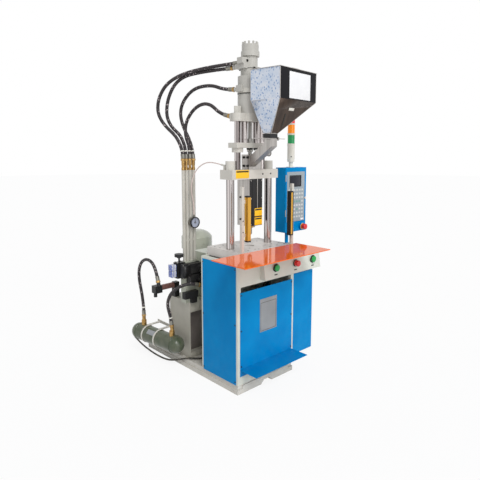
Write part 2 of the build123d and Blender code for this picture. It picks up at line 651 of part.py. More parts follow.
with BuildPart() as oil_filters:
    block(-238, -200, 505, 543, 460, 565)
    bar_x(-346, -238, 524, 545, 18)
    block(-400, -345, 500, 548, 516, 566)
    post(-386, 524, 488, 516, 12)
    stub(COOLER_A[-2], COOLER_A[-1], 26, 13)
    block(-300, -190, 300, 334.7, 500, 545)
    block(-236, -195, 310, 334.7, 460, 500)
keep("oil_filters", oil_filters.part)

with BuildPart() as pressure_pipes:
    for x in PIPE_X:
        post(x, PIPE_Y, PIPE_FOOT, PIPE_TOP, PIPE_R)
    block(-262, -163, 356, 370, 1130, 1142)
    block(-262, -163, 356, 370, 880, 892)
keep("pressure_pipes", pressure_pipes.part)

with BuildPart() as gauge:
    bar_y(-196, 318, 344, 1005, 37)
    bar_y(-196, 344, 351.4, 1005, 8)
    bar_y(-196, 317, 320, 1005, 33, mode=Mode.SUBTRACT)
    bar_y(-196, 316, 320, 1005, 3)
    post(-196, 331, 1040, 1056, 6)
keep("gauge", gauge.part)

with BuildPart() as gauge_needle:
    block(-197.5, -194.5, 318, 319, 1002, 1032)
    bar_y(-196, 318, 319, 1005, 6)
    bar_y(-196, 315, 321, 1005, 3 + RUN, mode=Mode.SUBTRACT)
keep("gauge_needle", gauge_needle.part)


# Oil cooler with its bands and arms
def cooler_plane(t):
    """Plane across the cooler's axis at a share of its length."""
    a = Vector(*COOLER_REAR)
    b = Vector(*COOLER_FRONT)
    return Plane(origin=a + (b - a) * t, x_dir=(0, 0, 1), z_dir=(b - a))


COOLER_LENGTH = math.dist(COOLER_REAR, COOLER_FRONT)

with BuildPart() as oil_cooler:
    with BuildSketch(cooler_plane(0.03)):
        Circle(COOLER_R)
    extrude(amount=COOLER_LENGTH * 0.94)
    for t in (0.03, 0.97):
        with Locations(cooler_plane(t)):
            Sphere(COOLER_R)
keep("oil_cooler", oil_cooler.part)

with BuildPart() as cooler_bracket:
    for t in (0.25, 0.56):
        with BuildSketch(cooler_plane(t)):
            Circle(COOLER_R + 3)
            Circle(COOLER_R + REST, mode=Mode.SUBTRACT)
        extrude(amount=6, both=True)
    for t in (0.25, 0.56):
        c = cooler_plane(t).origin
        block(c.X - 2, -244, c.Y - 10, c.Y + 10, 231, 238)
    block(-250, -244, 548, 717, 225, 245)
    block(-244, -238, 548, 568, 225, 245)
keep("cooler_bracket", cooler_bracket.part)

PORT_A = (-355.0, 733.0)
PORT_B = (-329.0, 421.0)

with BuildPart() as hose_fittings:
    for x in PIPE_X:
        post(x, PIPE_Y, PIPE_TOP, 1368, 12)
        post(x, PIPE_Y, 1368, 1384, 10)
        post(x, PIPE_Y, 1384, HOSE_FOOT, 11.5)
    for x, y in (PORT_A, PORT_B):
        post(x, y, 215, 262, 18)
    stub(COOLER_A[1], COOLER_A[0], 40, 13)
    stub(COOLER_B[1], COOLER_B[0], 40, 13)
    with BuildSketch(cooler_plane(0.5)):
        Circle(COOLER_R + REST)
    extrude(amount=COOLER_LENGTH, both=True, mode=Mode.SUBTRACT)
keep("hose_fittings", hose_fittings.part)

# Hoses
tube("hose_1", HOSE_1, HOSE_D)
tube("hose_2", HOSE_2, HOSE_D)
tube("hose_3", HOSE_3, HOSE_D)
tube("hose_4", HOSE_4, HOSE_D)
tube("cooler_hose_a", COOLER_A, HOSE_D)
tube("cooler_hose_b", COOLER_B, HOSE_D)
tube("gauge_tube", GAUGE_TUBE, 7)
tube("power_cord", POWER_CORD, 12)

print(len(made), "pieces")
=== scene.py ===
"""Studio scene of a small floor-standing vertical injection moulding machine.

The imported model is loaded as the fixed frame, its pieces get their finishes, and each sub-assembly
adds the details that a plain solid lacks. Pieces are placed in millimetres, in the frame's axes: +Z
up, the operator's side towards -Y, the injection axis at x = 0 and y = 0. The helpers turn them into
metres. The studio, and the depths and reaches of the finishes, are in metres.
"""

import json
import logging
import math
from collections.abc import Callable, Iterable, Sequence
from dataclasses import dataclass, field
from enum import Enum
from typing import ClassVar

import bpy
from mathutils import Matrix, Vector

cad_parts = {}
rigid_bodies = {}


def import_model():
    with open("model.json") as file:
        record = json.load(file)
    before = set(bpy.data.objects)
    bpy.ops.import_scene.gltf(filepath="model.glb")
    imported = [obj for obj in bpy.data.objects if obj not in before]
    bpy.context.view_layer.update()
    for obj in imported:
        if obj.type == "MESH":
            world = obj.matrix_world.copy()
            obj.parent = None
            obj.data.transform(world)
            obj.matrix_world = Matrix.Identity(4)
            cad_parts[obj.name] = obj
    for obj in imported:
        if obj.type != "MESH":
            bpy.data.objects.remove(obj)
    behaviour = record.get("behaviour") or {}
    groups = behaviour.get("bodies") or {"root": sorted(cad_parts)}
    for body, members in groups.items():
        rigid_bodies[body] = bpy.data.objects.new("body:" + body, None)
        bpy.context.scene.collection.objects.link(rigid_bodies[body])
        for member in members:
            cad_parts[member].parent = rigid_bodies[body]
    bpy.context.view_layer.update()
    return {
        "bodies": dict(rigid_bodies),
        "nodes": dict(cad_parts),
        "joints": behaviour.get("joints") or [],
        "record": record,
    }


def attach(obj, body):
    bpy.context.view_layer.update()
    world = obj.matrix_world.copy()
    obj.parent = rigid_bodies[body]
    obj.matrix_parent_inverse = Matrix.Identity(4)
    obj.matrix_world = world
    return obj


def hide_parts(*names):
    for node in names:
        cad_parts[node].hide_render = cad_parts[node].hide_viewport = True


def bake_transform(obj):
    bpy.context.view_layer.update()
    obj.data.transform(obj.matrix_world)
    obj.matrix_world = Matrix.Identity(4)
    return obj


LOG = logging.getLogger("moulding_machine")
MM = 0.001

Point = tuple[float, float, float]
Colour = tuple[int, int, int]
Profile = Sequence[tuple[float, float]]
Test = Callable[[Vector, Vector], bool]

FRONT: Point = (0, -1, 0)
LEFT: Point = (-1, 0, 0)
RIGHT: Point = (1, 0, 0)
UP: Point = (0, 0, 1)
DOWN: Point = (0, 0, -1)

BLOCK_SMOOTH = math.radians(40)
LATHE_SMOOTH = math.radians(35)
HOSE_SMOOTH = math.radians(50)
FLAT_ANGLE = math.radians(1)
LATHE_WELD = 0.000005
SKIN_WELD = 0.00001

PATCH_SPAN = (0.36, 0.66)
BLOTCH_SCALE = 23.0
BLOTCH_SPAN = (0.35, 0.7)
SPECK_PATCH_SCALE = 60.0
SPECK_PATCH_LEVEL = 0.46


def mm(*values: float) -> Vector:
    """Give a point in metres from millimetres."""
    return Vector(values) * MM


def linear(colour: Colour) -> tuple[float, float, float, float]:
    """Turn a colour of 0 to 255 a channel into Blender's linear values.

    Args:
        colour: Red, green and blue as seen on a screen.

    Returns:
        Linear red, green and blue with an alpha of 1.
    """
    parts = [c / 255 for c in colour]
    return (*[p / 12.92 if p <= 0.04045 else ((p + 0.055) / 1.055) ** 2.4 for p in parts], 1.0)


class Body(str, Enum):
    """Bodies of the machine that new pieces ride on."""

    MACHINE = "machine"
    HEAD = "clamp_head"
    INJECTION = "injection_unit"
    BUTTON_LEFT = "button_left_body"
    BUTTON_RIGHT = "button_right_body"
    CONSOLE_STOP = "console_stop_body"
    CONTROL_STOP = "control_stop_body"


class FarEnd(str, Enum):
    """What the far end of a cord is fixed to."""

    OBJECT = "object"
    BARE = "bare"


class Stiffness(str, Enum):
    """How hard a cord is to bend."""

    STIFF = "stiff"
    MEDIUM = "medium"


# Shader node groups


class NodeSheet:
    """Short calls for adding and joining the nodes of one tree."""

    def __init__(self, tree: bpy.types.NodeTree) -> None:
        """Keep the tree and clear what it starts with."""
        self.tree = tree
        tree.nodes.clear()

    def join(self, source: object, target: bpy.types.NodeSocket) -> None:
        """Feed an input socket.

        Args:
            source: A socket to link, or a plain value.
            target: The input socket.
        """
        if isinstance(source, bpy.types.NodeSocket):
            self.tree.links.new(source, target)
        else:
            target.default_value = source

    def add(self, kind: str, given: dict[object, object] | None = None, **settings: object) -> bpy.types.Node:
        """Add a node, set its properties and feed its inputs.

        Args:
            kind: Node type without the ShaderNode prefix, or a whole type name.
            given: Values or sockets for its inputs, by name or number.
            settings: Properties of the node by name.

        Returns:
            The new node.
        """
        node = self.tree.nodes.new(kind if kind.startswith("Node") else "ShaderNode" + kind)
        for name, value in settings.items():
            setattr(node, name, value)
        for name, value in (given or {}).items():
            self.join(value, node.inputs[name])
        return node

    def calc(self, operation: str, first: object, second: object) -> bpy.types.NodeSocket:
        """Add a Math node on two values or sockets and give its output."""
        return self.add("Math", {0: first, 1: second}, operation=operation).outputs[0]

    def span(self, value: object, low: float, high: float) -> bpy.types.NodeSocket:
        """Add a Map Range node that turns low to high into 0 to 1, and give its output."""
        return self.add("MapRange", {"Value": value, "From Min": low, "From Max": high}).outputs["Result"]

    def blend(self, factor: object, first: object, second: object) -> bpy.types.NodeSocket:
        """Add a mix of two colours or sockets and give its output."""
        return self.add("Mix", {0: factor, 6: first, 7: second}, data_type="RGBA").outputs[2]

    def noise(self, vector: object, scale: object, detail: float) -> bpy.types.NodeSocket:
        """Add a noise texture and give its value."""
        return self.add("TexNoise", {"Vector": vector, "Scale": scale, "Detail": detail}).outputs[0]

    def stretch(self, vector: object, factors: object) -> bpy.types.NodeSocket:
        """Scale a vector by a factor for each axis and give the result."""
        return self.add("VectorMath", {0: vector, 1: factors}, operation="MULTIPLY").outputs[0]

    def use(self, group: str, given: dict[str, object]) -> bpy.types.bpy_prop_collection:
        """Add a node group, feed its inputs and give its outputs."""
        return self.add("Group", given, node_tree=bpy.data.node_groups[group]).outputs

    def finish(self, kind: str, factor: object, first: bpy.types.Node, second: bpy.types.Node) -> None:
        """Mix two shaders and send them to the tree's output.

        Args:
            kind: Type of the output node.
            factor: Share of the second shader.
            first: The first shader's node.
            second: The second shader's node.
        """
        mix = self.add("MixShader", {0: factor, 1: first.outputs[0], 2: second.outputs[0]})
        self.add(kind, {0: mix.outputs[0]})


def new_group(name: str, inputs: dict[str, str],
              outputs: dict[str, str]) -> tuple[NodeSheet, object, object]:
    """Start a shader node group.

    Args:
        name: Name of the group.
        inputs: Kinds of its inputs by name.
        outputs: Kinds of its outputs by name.

    Returns:
        The node sheet, the sockets that come in and the sockets that go out.
    """
    tree = bpy.data.node_groups.new(name, "ShaderNodeTree")
    for way, sockets in (("INPUT", inputs), ("OUTPUT", outputs)):
        for label, kind in sockets.items():
            tree.interface.new_socket(name=label, in_out=way, socket_type="NodeSocket" + kind)
    sheet = NodeSheet(tree)
    return sheet, sheet.add("NodeGroupInput").outputs, sheet.add("NodeGroupOutput").inputs


def make_surface_variation() -> None:
    """Build the group that gives patches of colour and gloss, and a fine grain. On the chrome, whose two
    colours are far apart, the patches are painted reflection streaks.
    """
    sheet, given, result = new_group(
        "surface_variation",
        {"Vector": "Vector", "Colour": "Color", "Shade": "Color", "Patch Scale": "Float",
         "Grain Scale": "Float", "Roughness": "Float", "Spread": "Float"},
        {"Colour": "Color", "Roughness": "Float", "Grain": "Float"})
    patch = sheet.noise(given["Vector"], given["Patch Scale"], 4)
    grain = sheet.noise(given["Vector"], given["Grain Scale"], 2)
    share = sheet.span(patch, *PATCH_SPAN)
    sheet.join(sheet.blend(share, given["Colour"], given["Shade"]), result["Colour"])
    gloss = sheet.calc("MULTIPLY", sheet.calc("SUBTRACT", patch, 0.5), given["Spread"])
    sheet.join(sheet.calc("ADD", given["Roughness"], gloss), result["Roughness"])
    sheet.join(grain, result["Grain"])


def make_floor_dust() -> None:
    """Build the group that lays a thin dust near the floor and in blotches."""
    sheet, given, result = new_group(
        "floor_dust",
        {"Vector": "Vector", "Colour": "Color", "Dust": "Color", "Reach": "Float", "Amount": "Float"},
        {"Colour": "Color"})
    height = sheet.add("SeparateXYZ", {0: given["Vector"]}).outputs["Z"]
    low = sheet.calc("SUBTRACT", 1.0, sheet.calc("DIVIDE", height, given["Reach"]))
    blotch = sheet.span(sheet.noise(given["Vector"], BLOTCH_SCALE, 5), *BLOTCH_SPAN)
    mask = sheet.calc("MULTIPLY", sheet.calc("MAXIMUM", low, 0.0), blotch)
    share = sheet.calc("MINIMUM", sheet.calc("MULTIPLY", mask, given["Amount"]), 1.0)
    sheet.join(sheet.blend(share, given["Colour"], given["Dust"]), result["Colour"])


def make_specks() -> None:
    """Build the group that scatters small specks, used by the film and the hoses."""
    sheet, given, result = new_group(
        "specks", {"Vector": "Vector", "Stretch": "Vector", "Scale": "Float", "Size": "Float"},
        {"Mask": "Float"})
    cells = sheet.add("TexVoronoi", {"Vector": sheet.stretch(given["Vector"], given["Stretch"]),
                                     "Scale": given["Scale"]})
    inside = sheet.calc("LESS_THAN", cells.outputs["Distance"], given["Size"])
    patch = sheet.noise(given["Vector"], SPECK_PATCH_SCALE, 2)
    some = sheet.calc("GREATER_THAN", patch, SPECK_PATCH_LEVEL)
    sheet.join(sheet.calc("MULTIPLY", inside, some), result["Mask"])


# Finishes


def new_material(name: str) -> tuple[bpy.types.Material, NodeSheet]:
    """Start a material.

    Args:
        name: Name of the material.

    Returns:
        The material and its empty node sheet.
    """
    material = bpy.data.materials.new(name)
    material.use_nodes = True
    return material, NodeSheet(material.node_tree)


@dataclass(frozen=True)
class Finish:
    """A surface finish with patches of shade, fine grain, and dust near the floor."""

    name: str
    slot: str
    colour: Colour
    shade: Colour
    roughness: float = 0.42
    spread: float = 0.14
    metallic: float = 0.0
    coat: float = 0.0
    specular: float = 0.3
    patch_scale: float = 7.0
    grain_scale: float = 1400.0
    grain_depth: float = 0.00004
    stretch: Point = (1.0, 1.0, 1.0)
    dust: float = 0.0

    DUST_COLOUR: ClassVar[Colour] = (150, 142, 128)
    DUST_REACH: ClassVar[float] = 0.5

    def paint(self, sheet: NodeSheet, place: object, colour: object) -> object:
        """Give the colour that goes to the shader. Finishes with a pattern change it here."""
        return colour

    def extras(self) -> dict[str, object]:
        """Give what only some finishes set on the shader."""
        return {}

    def build(self) -> bpy.types.Material:
        """Build the material.

        Returns:
            The material, whose patterns read Object coordinates.
        """
        material, sheet = new_material(self.name)
        place = sheet.add("TexCoord").outputs["Object"]
        skin = sheet.use("surface_variation", {
            "Vector": sheet.stretch(place, self.stretch), "Colour": linear(self.colour),
            "Shade": linear(self.shade), "Patch Scale": self.patch_scale, "Grain Scale": self.grain_scale,
            "Roughness": self.roughness, "Spread": self.spread})
        colour = self.paint(sheet, place, skin["Colour"])
        if self.dust:
            colour = sheet.use("floor_dust", {
                "Vector": place, "Colour": colour, "Dust": linear(self.DUST_COLOUR),
                "Reach": self.DUST_REACH, "Amount": self.dust})["Colour"]
        bump = sheet.add("Bump", {"Distance": self.grain_depth, "Height": skin["Grain"]})
        shader = sheet.add("BsdfPrincipled", {
            "Base Color": colour, "Roughness": skin["Roughness"], "Normal": bump.outputs[0],
            "Metallic": self.metallic, "Coat Weight": self.coat, "Specular IOR Level": self.specular,
            **self.extras()})
        sheet.add("OutputMaterial", {0: shader.outputs[0]})
        return material


@dataclass(frozen=True)
class SpeckledFinish(Finish):
    """A finish with scattered specks, such as a protective film or a hose's cover."""

    speck: Colour = (120, 160, 205)
    speck_stretch: Point = (1.0, 1.0, 1.0)
    speck_scale: float = 90.0
    speck_size: float = 0.3

    def paint(self, sheet: NodeSheet, place: object, colour: object) -> object:
        """Lay the specks over the colour.

        Args:
            sheet: The material's node sheet.
            place: Object coordinates.
            colour: The colour so far.

        Returns:
            The colour with its specks.
        """
        specks = sheet.use("specks", {"Vector": place, "Stretch": self.speck_stretch,
                                      "Scale": self.speck_scale, "Size": self.speck_size})
        return sheet.blend(specks["Mask"], colour, linear(self.speck))


@dataclass(frozen=True)
class LampFinish(Finish):
    """A coloured lamp lens that glows a little, as a translucent cap does in a bright room."""

    glow: float = 0.25

    def extras(self) -> dict[str, object]:
        """Give the glow of light that comes through the lens."""
        return {"Emission Color": linear(self.colour), "Emission Strength": self.glow}


PAINT = dict(roughness=0.4, grain_scale=900.0, grain_depth=0.00006)
LENS = dict(roughness=0.2, coat=0.4)
CAP = dict(roughness=0.25, coat=0.4)
DRAWN = dict(stretch=(8.0, 8.0, 0.6), grain_scale=90.0)
FINISHES = (
    Finish("grey_paint", "machine_grey", (203, 200, 192), (194, 191, 183), dust=0.25, **PAINT),
    Finish("blue_paint", "panel_blue", (0, 131, 193), (0, 122, 185), specular=0.05, dust=0.04, **PAINT),
    Finish("orange_gloss", "table_orange", (236, 108, 30), (230, 100, 26), roughness=0.06, spread=0.02,
           specular=0.185, grain_depth=0.00001),
    Finish("pump_paint", "pump_grey", (178, 181, 166), (168, 171, 156), dust=0.3, roughness=0.22, coat=0.5),
    Finish("cooler_paint", "cooler_green", (72, 82, 62), (62, 71, 54), dust=0.3, roughness=0.3, coat=0.2),
    Finish("black_paint", "black_paint", (30, 30, 32), (38, 37, 37), dust=0.4, **PAINT),
    Finish("machined_steel", "steel", (168, 166, 162), (146, 144, 140), roughness=0.36, metallic=0.9,
           stretch=(1.0, 14.0, 1.0), grain_scale=120.0, grain_depth=0.00008),
    # The chrome's vertical streaks of light and dark, from its far-apart colours and stretched patches, are
    # painted reflection.
    Finish("hard_chrome", "chrome", (228, 221, 219), (92, 84, 83), roughness=0.14, spread=0.05,
           metallic=1.0, stretch=(12.0, 12.0, 0.02), grain_scale=60.0, grain_depth=0.000004),
    Finish("brushed_stainless", "stainless", (188, 184, 180), (168, 164, 160), roughness=0.3,
           metallic=1.0, stretch=(12.0, 12.0, 0.8), grain_scale=90.0, grain_depth=0.00003),
    # The hopper front's near-black colour is a painted dark reflection on its stainless.
    Finish("black_mirror", "stainless", (14, 13, 19), (10, 9, 14), roughness=0.14, spread=0.05,
           specular=0.12, grain_depth=0.00001, **DRAWN),
    # The front slope's dark brown colour is a painted reflection on its stainless.
    Finish("dark_stainless", "stainless", (74, 62, 54), (58, 48, 42), roughness=0.28, metallic=0.5,
           specular=0.2, patch_scale=4.0, grain_depth=0.00003, **DRAWN),
    Finish("bed_grey", "steel", (212, 207, 202), (196, 191, 186), metallic=0.2, grain_scale=300.0,
           grain_depth=0.00002),
    Finish("pipe_grey", "machine_grey", (190, 187, 177), (176, 173, 163), roughness=0.26, coat=0.3),
    # The tank's darker grey is painted shade: the machine's grey, darkened because the tank stands in shade.
    Finish("tank_grey", "machine_grey", (176, 173, 162), (164, 161, 150), dust=0.4, **PAINT),
    Finish("head_grey", "machine_grey", (188, 186, 180), (179, 177, 170), dust=0.25, **PAINT),
    Finish("cabinet_grey", "machine_grey", (206, 209, 199), (197, 200, 190), dust=0.25, **PAINT),
    # Painted shade: the dark grey laid in the tank's recess, where shade falls.
    Finish("recess_grey", "machine_grey", (116, 108, 104), (98, 92, 88), **PAINT),
    Finish("oxide_black", "black_oxide", (40, 39, 38), (52, 50, 48), roughness=0.45, metallic=0.7),
    Finish("brass_fitting", "brass", (186, 152, 96), (160, 126, 76), roughness=0.32, metallic=0.95,
           patch_scale=60.0),
    Finish("suction_brown", "black_paint", (126, 88, 82), (104, 74, 70), roughness=0.45),
    Finish("crimped_ferrule", "gauge_steel", (150, 148, 140), (120, 117, 110), roughness=0.4,
           metallic=0.85, patch_scale=60.0),
    SpeckledFinish("hose_cover", "hose_rubber", (56, 51, 52), (44, 41, 43), roughness=0.5,
                   grain_scale=700.0, grain_depth=0.0003, speck=(172, 160, 160), speck_scale=64.0,
                   speck_size=0.26),
    Finish("cord_cover", "cable_black", (26, 26, 26), (36, 35, 34), roughness=0.6, dust=0.5),
    Finish("clear_tube", "tube_clear", (214, 196, 190), (202, 182, 176), roughness=0.25, coat=0.3),
    Finish("green_cap", "green_plastic", (10, 158, 70), (8, 148, 62), **CAP),
    Finish("red_cap", "red_plastic", (222, 46, 44), (206, 36, 38), **CAP),
    Finish("black_plastic", "black_plastic", (34, 34, 36), (28, 28, 30), roughness=0.45,
           grain_depth=0.0001),
    Finish("white_plastic", "lens_plastic", (226, 224, 214), (216, 214, 204), roughness=0.4),
    LampFinish("red_lens", "lens_plastic", (222, 44, 40), (206, 34, 34), **LENS),
    LampFinish("amber_lens", "lens_plastic", (240, 142, 4), (234, 128, 2), **LENS),
    LampFinish("green_lens", "lens_plastic", (16, 150, 84), (12, 138, 74), glow=0.15, **LENS),
    Finish("gold_anodised", "curtain_yellow", (226, 176, 78), (208, 156, 62), roughness=0.28,
           metallic=0.75, stretch=(14.0, 14.0, 1.0), grain_scale=100.0, grain_depth=0.00002),
    Finish("gauge_dial", "gauge_steel", (168, 175, 192), (158, 165, 182), roughness=0.5),
    Finish("yellow_label", "curtain_yellow", (248, 196, 22), (242, 188, 18), roughness=0.35, coat=0.3),
    Finish("label_ink", "black_paint", (34, 32, 28), (42, 40, 36), roughness=0.5),
    Finish("plate_grey", "gauge_steel", (150, 153, 156), (136, 139, 142), roughness=0.4, metallic=0.4),
    Finish("keypad_film", "machine_grey", (150, 160, 166), (142, 152, 158), roughness=0.4, coat=0.2),
    Finish("key_pale", "machine_grey", (196, 200, 198), (186, 190, 188), roughness=0.45),
    Finish("key_green", "machine_grey", (120, 160, 150), (112, 150, 140), roughness=0.45),
    Finish("screen_glass", "black_plastic", (30, 32, 44), (24, 26, 38), roughness=0.12),
    Finish("coil_blue", "black_plastic", (78, 92, 158), (150, 160, 200), roughness=0.4, patch_scale=80.0),
    Finish("paper_sheet", "lens_plastic", (236, 236, 236), (228, 228, 230), roughness=0.7),
    SpeckledFinish("dotted_film", "stainless", (212, 217, 226), (192, 204, 221), roughness=0.3,
                   coat=0.2, patch_scale=24.0, grain_scale=160.0, grain_depth=0.0004,
                   speck=(122, 152, 192), speck_scale=92.0, speck_size=0.34,
                   speck_stretch=(1.0, 1.0, 0.6)),
)


class FinishShelf:
    """All the materials of the scene by name, each built once."""

    def __init__(self) -> None:
        """Build the shared node groups and every finish."""
        for maker in (make_surface_variation, make_floor_dust, make_specks):
            maker()
        self.finishes = {finish.name: finish for finish in FINISHES}
        self.materials = {name: finish.build() for name, finish in self.finishes.items()}

    def dress(self, piece: bpy.types.Object, finish: str) -> None:
        """Give a piece one finish all over."""
        piece.data.materials.clear()
        piece.data.materials.append(self.materials[finish])


# Modelling


def take(obj: bpy.types.Object) -> bpy.types.Object:
    """Select one object alone and make it active.

    Args:
        obj: The object.

    Returns:
        The same object.
    """
    bpy.ops.object.select_all(action="DESELECT")
    obj.select_set(True)
    bpy.context.view_layer.objects.active = obj
    return obj


def settle(obj: bpy.types.Object) -> bpy.types.Object:
    """Apply an object's place, turn and scale to its mesh.

    Args:
        obj: The object.

    Returns:
        The same object.
    """
    take(obj)
    bpy.ops.object.transform_apply(location=True, rotation=True, scale=True)
    return obj


def edit_faces(obj: bpy.types.Object, flags: Sequence[bool]) -> None:
    """Start editing an object with only some of its faces selected.

    Args:
        obj: The object.
        flags: One for each face, True where it is selected.
    """
    take(obj)
    for parts in (obj.data.vertices, obj.data.edges):
        parts.foreach_set("select", [False] * len(parts))
    obj.data.polygons.foreach_set("select", flags)
    bpy.context.tool_settings.mesh_select_mode = (False, False, True)
    bpy.ops.object.mode_set(mode="EDIT")


def round_edges(obj: bpy.types.Object, width: float) -> bpy.types.Object:
    """Round the sharp edges of a piece.

    Args:
        obj: The piece.
        width: Width of the rounding in millimetres.

    Returns:
        The same piece.
    """
    take(obj)
    bevel = obj.modifiers.new("Edges", "BEVEL")
    bevel.width = width * MM
    bevel.segments = 2
    bevel.limit_method = "ANGLE"
    bpy.ops.object.modifier_apply(modifier=bevel.name)
    bpy.ops.object.shade_smooth_by_angle(angle=BLOCK_SMOOTH)
    return obj


def block(name: str, low: Point, high: Point, edge: float = 0.0) -> bpy.types.Object:
    """Model a block between two corners.

    Args:
        name: Name of the piece.
        low: Lowest corner in millimetres.
        high: Highest corner in millimetres.
        edge: Width of the rounded edges in millimetres, or 0 for sharp ones.

    Returns:
        The block, with its place in its mesh.
    """
    bpy.ops.object.select_all(action="DESELECT")
    bpy.ops.mesh.primitive_cube_add(size=1, location=(mm(*low) + mm(*high)) / 2)
    obj = bpy.context.object
    obj.name = name
    obj.scale = mm(*high) - mm(*low)
    settle(obj)
    return round_edges(obj, edge) if edge else obj


def push_front(obj: bpy.types.Object, inset: float, depth: float) -> bpy.types.Object:
    """Inset the front face of a block and move it back or forth.

    Args:
        obj: The piece to shape.
        inset: How far the face's edge moves inwards, in millimetres.
        depth: How far the inset face moves towards the back, in millimetres.

    Returns:
        The same piece.
    """
    edit_faces(obj, [p.normal.y < -0.99 for p in obj.data.polygons])
    bpy.ops.mesh.inset(thickness=inset * MM, depth=0)
    bpy.ops.mesh.extrude_region_move(TRANSFORM_OT_translate={"value": mm(0, depth, 0)})
    bpy.ops.object.mode_set(mode="OBJECT")
    return obj


def turned(name: str, profile: Profile, at: Point, axis: Point = UP, sides: int = 32,
           hollow: bool = False) -> bpy.types.Object:
    """Turn a profile round an axis, ring by ring, as on a lathe.

    Args:
        name: Name of the piece.
        profile: Radii and heights along the axis, in millimetres.
        at: The point where height 0 lies, in millimetres.
        axis: Direction of rising height.
        sides: Number of sides.
        hollow: True where the profile closes on itself round a hole.

    Returns:
        The turned piece.
    """
    bpy.ops.object.select_all(action="DESELECT")
    radius, height = profile[0]
    bpy.ops.mesh.primitive_circle_add(vertices=sides, radius=radius * MM, location=(0, 0, height * MM),
                                      fill_type="NOTHING" if hollow else "NGON")
    obj = bpy.context.object
    obj.name = name
    settle(obj)
    bpy.ops.object.mode_set(mode="EDIT")
    bpy.ops.mesh.select_mode(type="VERT")
    bpy.ops.mesh.select_all(action="SELECT")
    for next_radius, next_height in [*profile[1:], *(profile[:1] if hollow else [])]:
        bpy.ops.mesh.extrude_region_move(
            TRANSFORM_OT_translate={"value": (0, 0, (next_height - height) * MM)})
        scale = next_radius / radius
        bpy.ops.transform.resize(value=(scale, scale, 1), center_override=(0, 0, next_height * MM))
        radius, height = next_radius, next_height
    bpy.ops.mesh.select_all(action="SELECT")
    bpy.ops.mesh.remove_doubles(threshold=LATHE_WELD)
    bpy.ops.mesh.normals_make_consistent(inside=False)
    bpy.ops.object.mode_set(mode="OBJECT")
    turn = Vector(UP).rotation_difference(Vector(axis)).to_matrix().to_4x4()
    obj.matrix_world = Matrix.Translation(mm(*at)) @ turn
    settle(obj)
    bpy.ops.object.shade_smooth_by_angle(angle=LATHE_SMOOTH)
    return obj


def rod(name: str, start: Sequence[float], end: Sequence[float], radius: float, chamfer: float = 0.5,
        sides: int = 24) -> bpy.types.Object:
    """Turn a round bar with chamfered ends.

    Args:
        name: Name of the piece.
        start: Middle of one end, in millimetres.
        end: Middle of the other end, in millimetres.
        radius: Radius in millimetres.
        chamfer: Width of the chamfers in millimetres.
        sides: Number of sides.

    Returns:
        The bar.
    """
    run = Vector(end) - Vector(start)
    profile = [(radius - chamfer, 0), (radius, chamfer), (radius, run.length - chamfer),
               (radius - chamfer, run.length)]
    return turned(name, profile, start, tuple(run), sides)


def sleeve(name: str, at: Sequence[float], axis: Sequence[float], inner: float, outer: float,
           length: float, chamfer: float = 0.6, sides: int = 32) -> bpy.types.Object:
    """Turn a ring with a hole.

    Args:
        name: Name of the piece.
        at: Middle of its first end, in millimetres.
        axis: The way it runs.
        inner: Radius of the hole in millimetres.
        outer: Outer radius in millimetres.
        length: Length in millimetres.
        chamfer: Width of the chamfers on its outer edges, in millimetres.
        sides: Number of sides.

    Returns:
        The ring.
    """
    profile = [(inner, 0), (outer - chamfer, 0), (outer, chamfer), (outer, length - chamfer),
               (outer - chamfer, length), (inner, length)]
    return turned(name, profile, at, axis, sides, hollow=True)


def join(name: str, parts: Sequence[bpy.types.Object]) -> bpy.types.Object:
    """Join pieces into one.

    Args:
        name: Name of the joined piece.
        parts: The pieces.

    Returns:
        The joined piece.
    """
    take(parts[0])
    for part in parts[1:]:
        part.select_set(True)
    bpy.ops.object.join()
    parts[0].name = name
    return parts[0]


def repeat(obj: bpy.types.Object, moves: Iterable[Matrix]) -> bpy.types.Object:
    """Copy a piece to each place, each copy with its own mesh, and join them with it.

    Args:
        obj: The piece that was modelled once.
        moves: The move of each further copy.

    Returns:
        The joined piece.
    """
    copies = []
    for move in moves:
        copy = obj.copy()
        copy.data = obj.data.copy()
        copy.data.transform(move)
        bpy.context.collection.objects.link(copy)
        copies.append(copy)
    return join(obj.name, [obj] + copies)


def at_places(obj: bpy.types.Object, places: Sequence[Point]) -> bpy.types.Object:
    """Repeat a piece that sits at the first of several places at all the others."""
    return repeat(obj, [Matrix.Translation(mm(*p) - mm(*places[0])) for p in places[1:]])


def circle(centre: Point, radius: float, angles: Iterable[float]) -> list[Point]:
    """Give points on a level circle.

    Args:
        centre: Its middle, in millimetres.
        radius: Its radius in millimetres.
        angles: Where the points lie, in degrees from the right towards the back.

    Returns:
        The points.
    """
    x, y, z = centre
    return [(x + radius * math.cos(a), y + radius * math.sin(a), z) for a in map(math.radians, angles)]


def plate(name: str, centre: Sequence[float], across: Sequence[float], up: Sequence[float], size: Point,
          edge: float) -> bpy.types.Object:
    """Model a flat plate that lies on a slanted or upright face.

    Args:
        name: Name of the plate.
        centre: Middle of its back, in millimetres.
        across: Direction of its width.
        up: Direction of its height.
        size: Width, height and thickness in millimetres.
        edge: Width of its rounded edges in millimetres.

    Returns:
        The plate, which stands on the face towards across x up.
    """
    width, height, thickness = size
    obj = block(name, (-width / 2, -height / 2, 0), (width / 2, height / 2, thickness), edge)
    x_axis = Vector(across).normalized()
    z_axis = x_axis.cross(Vector(up)).normalized()
    turn = Matrix((x_axis, z_axis.cross(x_axis), z_axis)).transposed().to_4x4()
    obj.matrix_world = Matrix.Translation(mm(*centre)) @ turn
    return settle(obj)


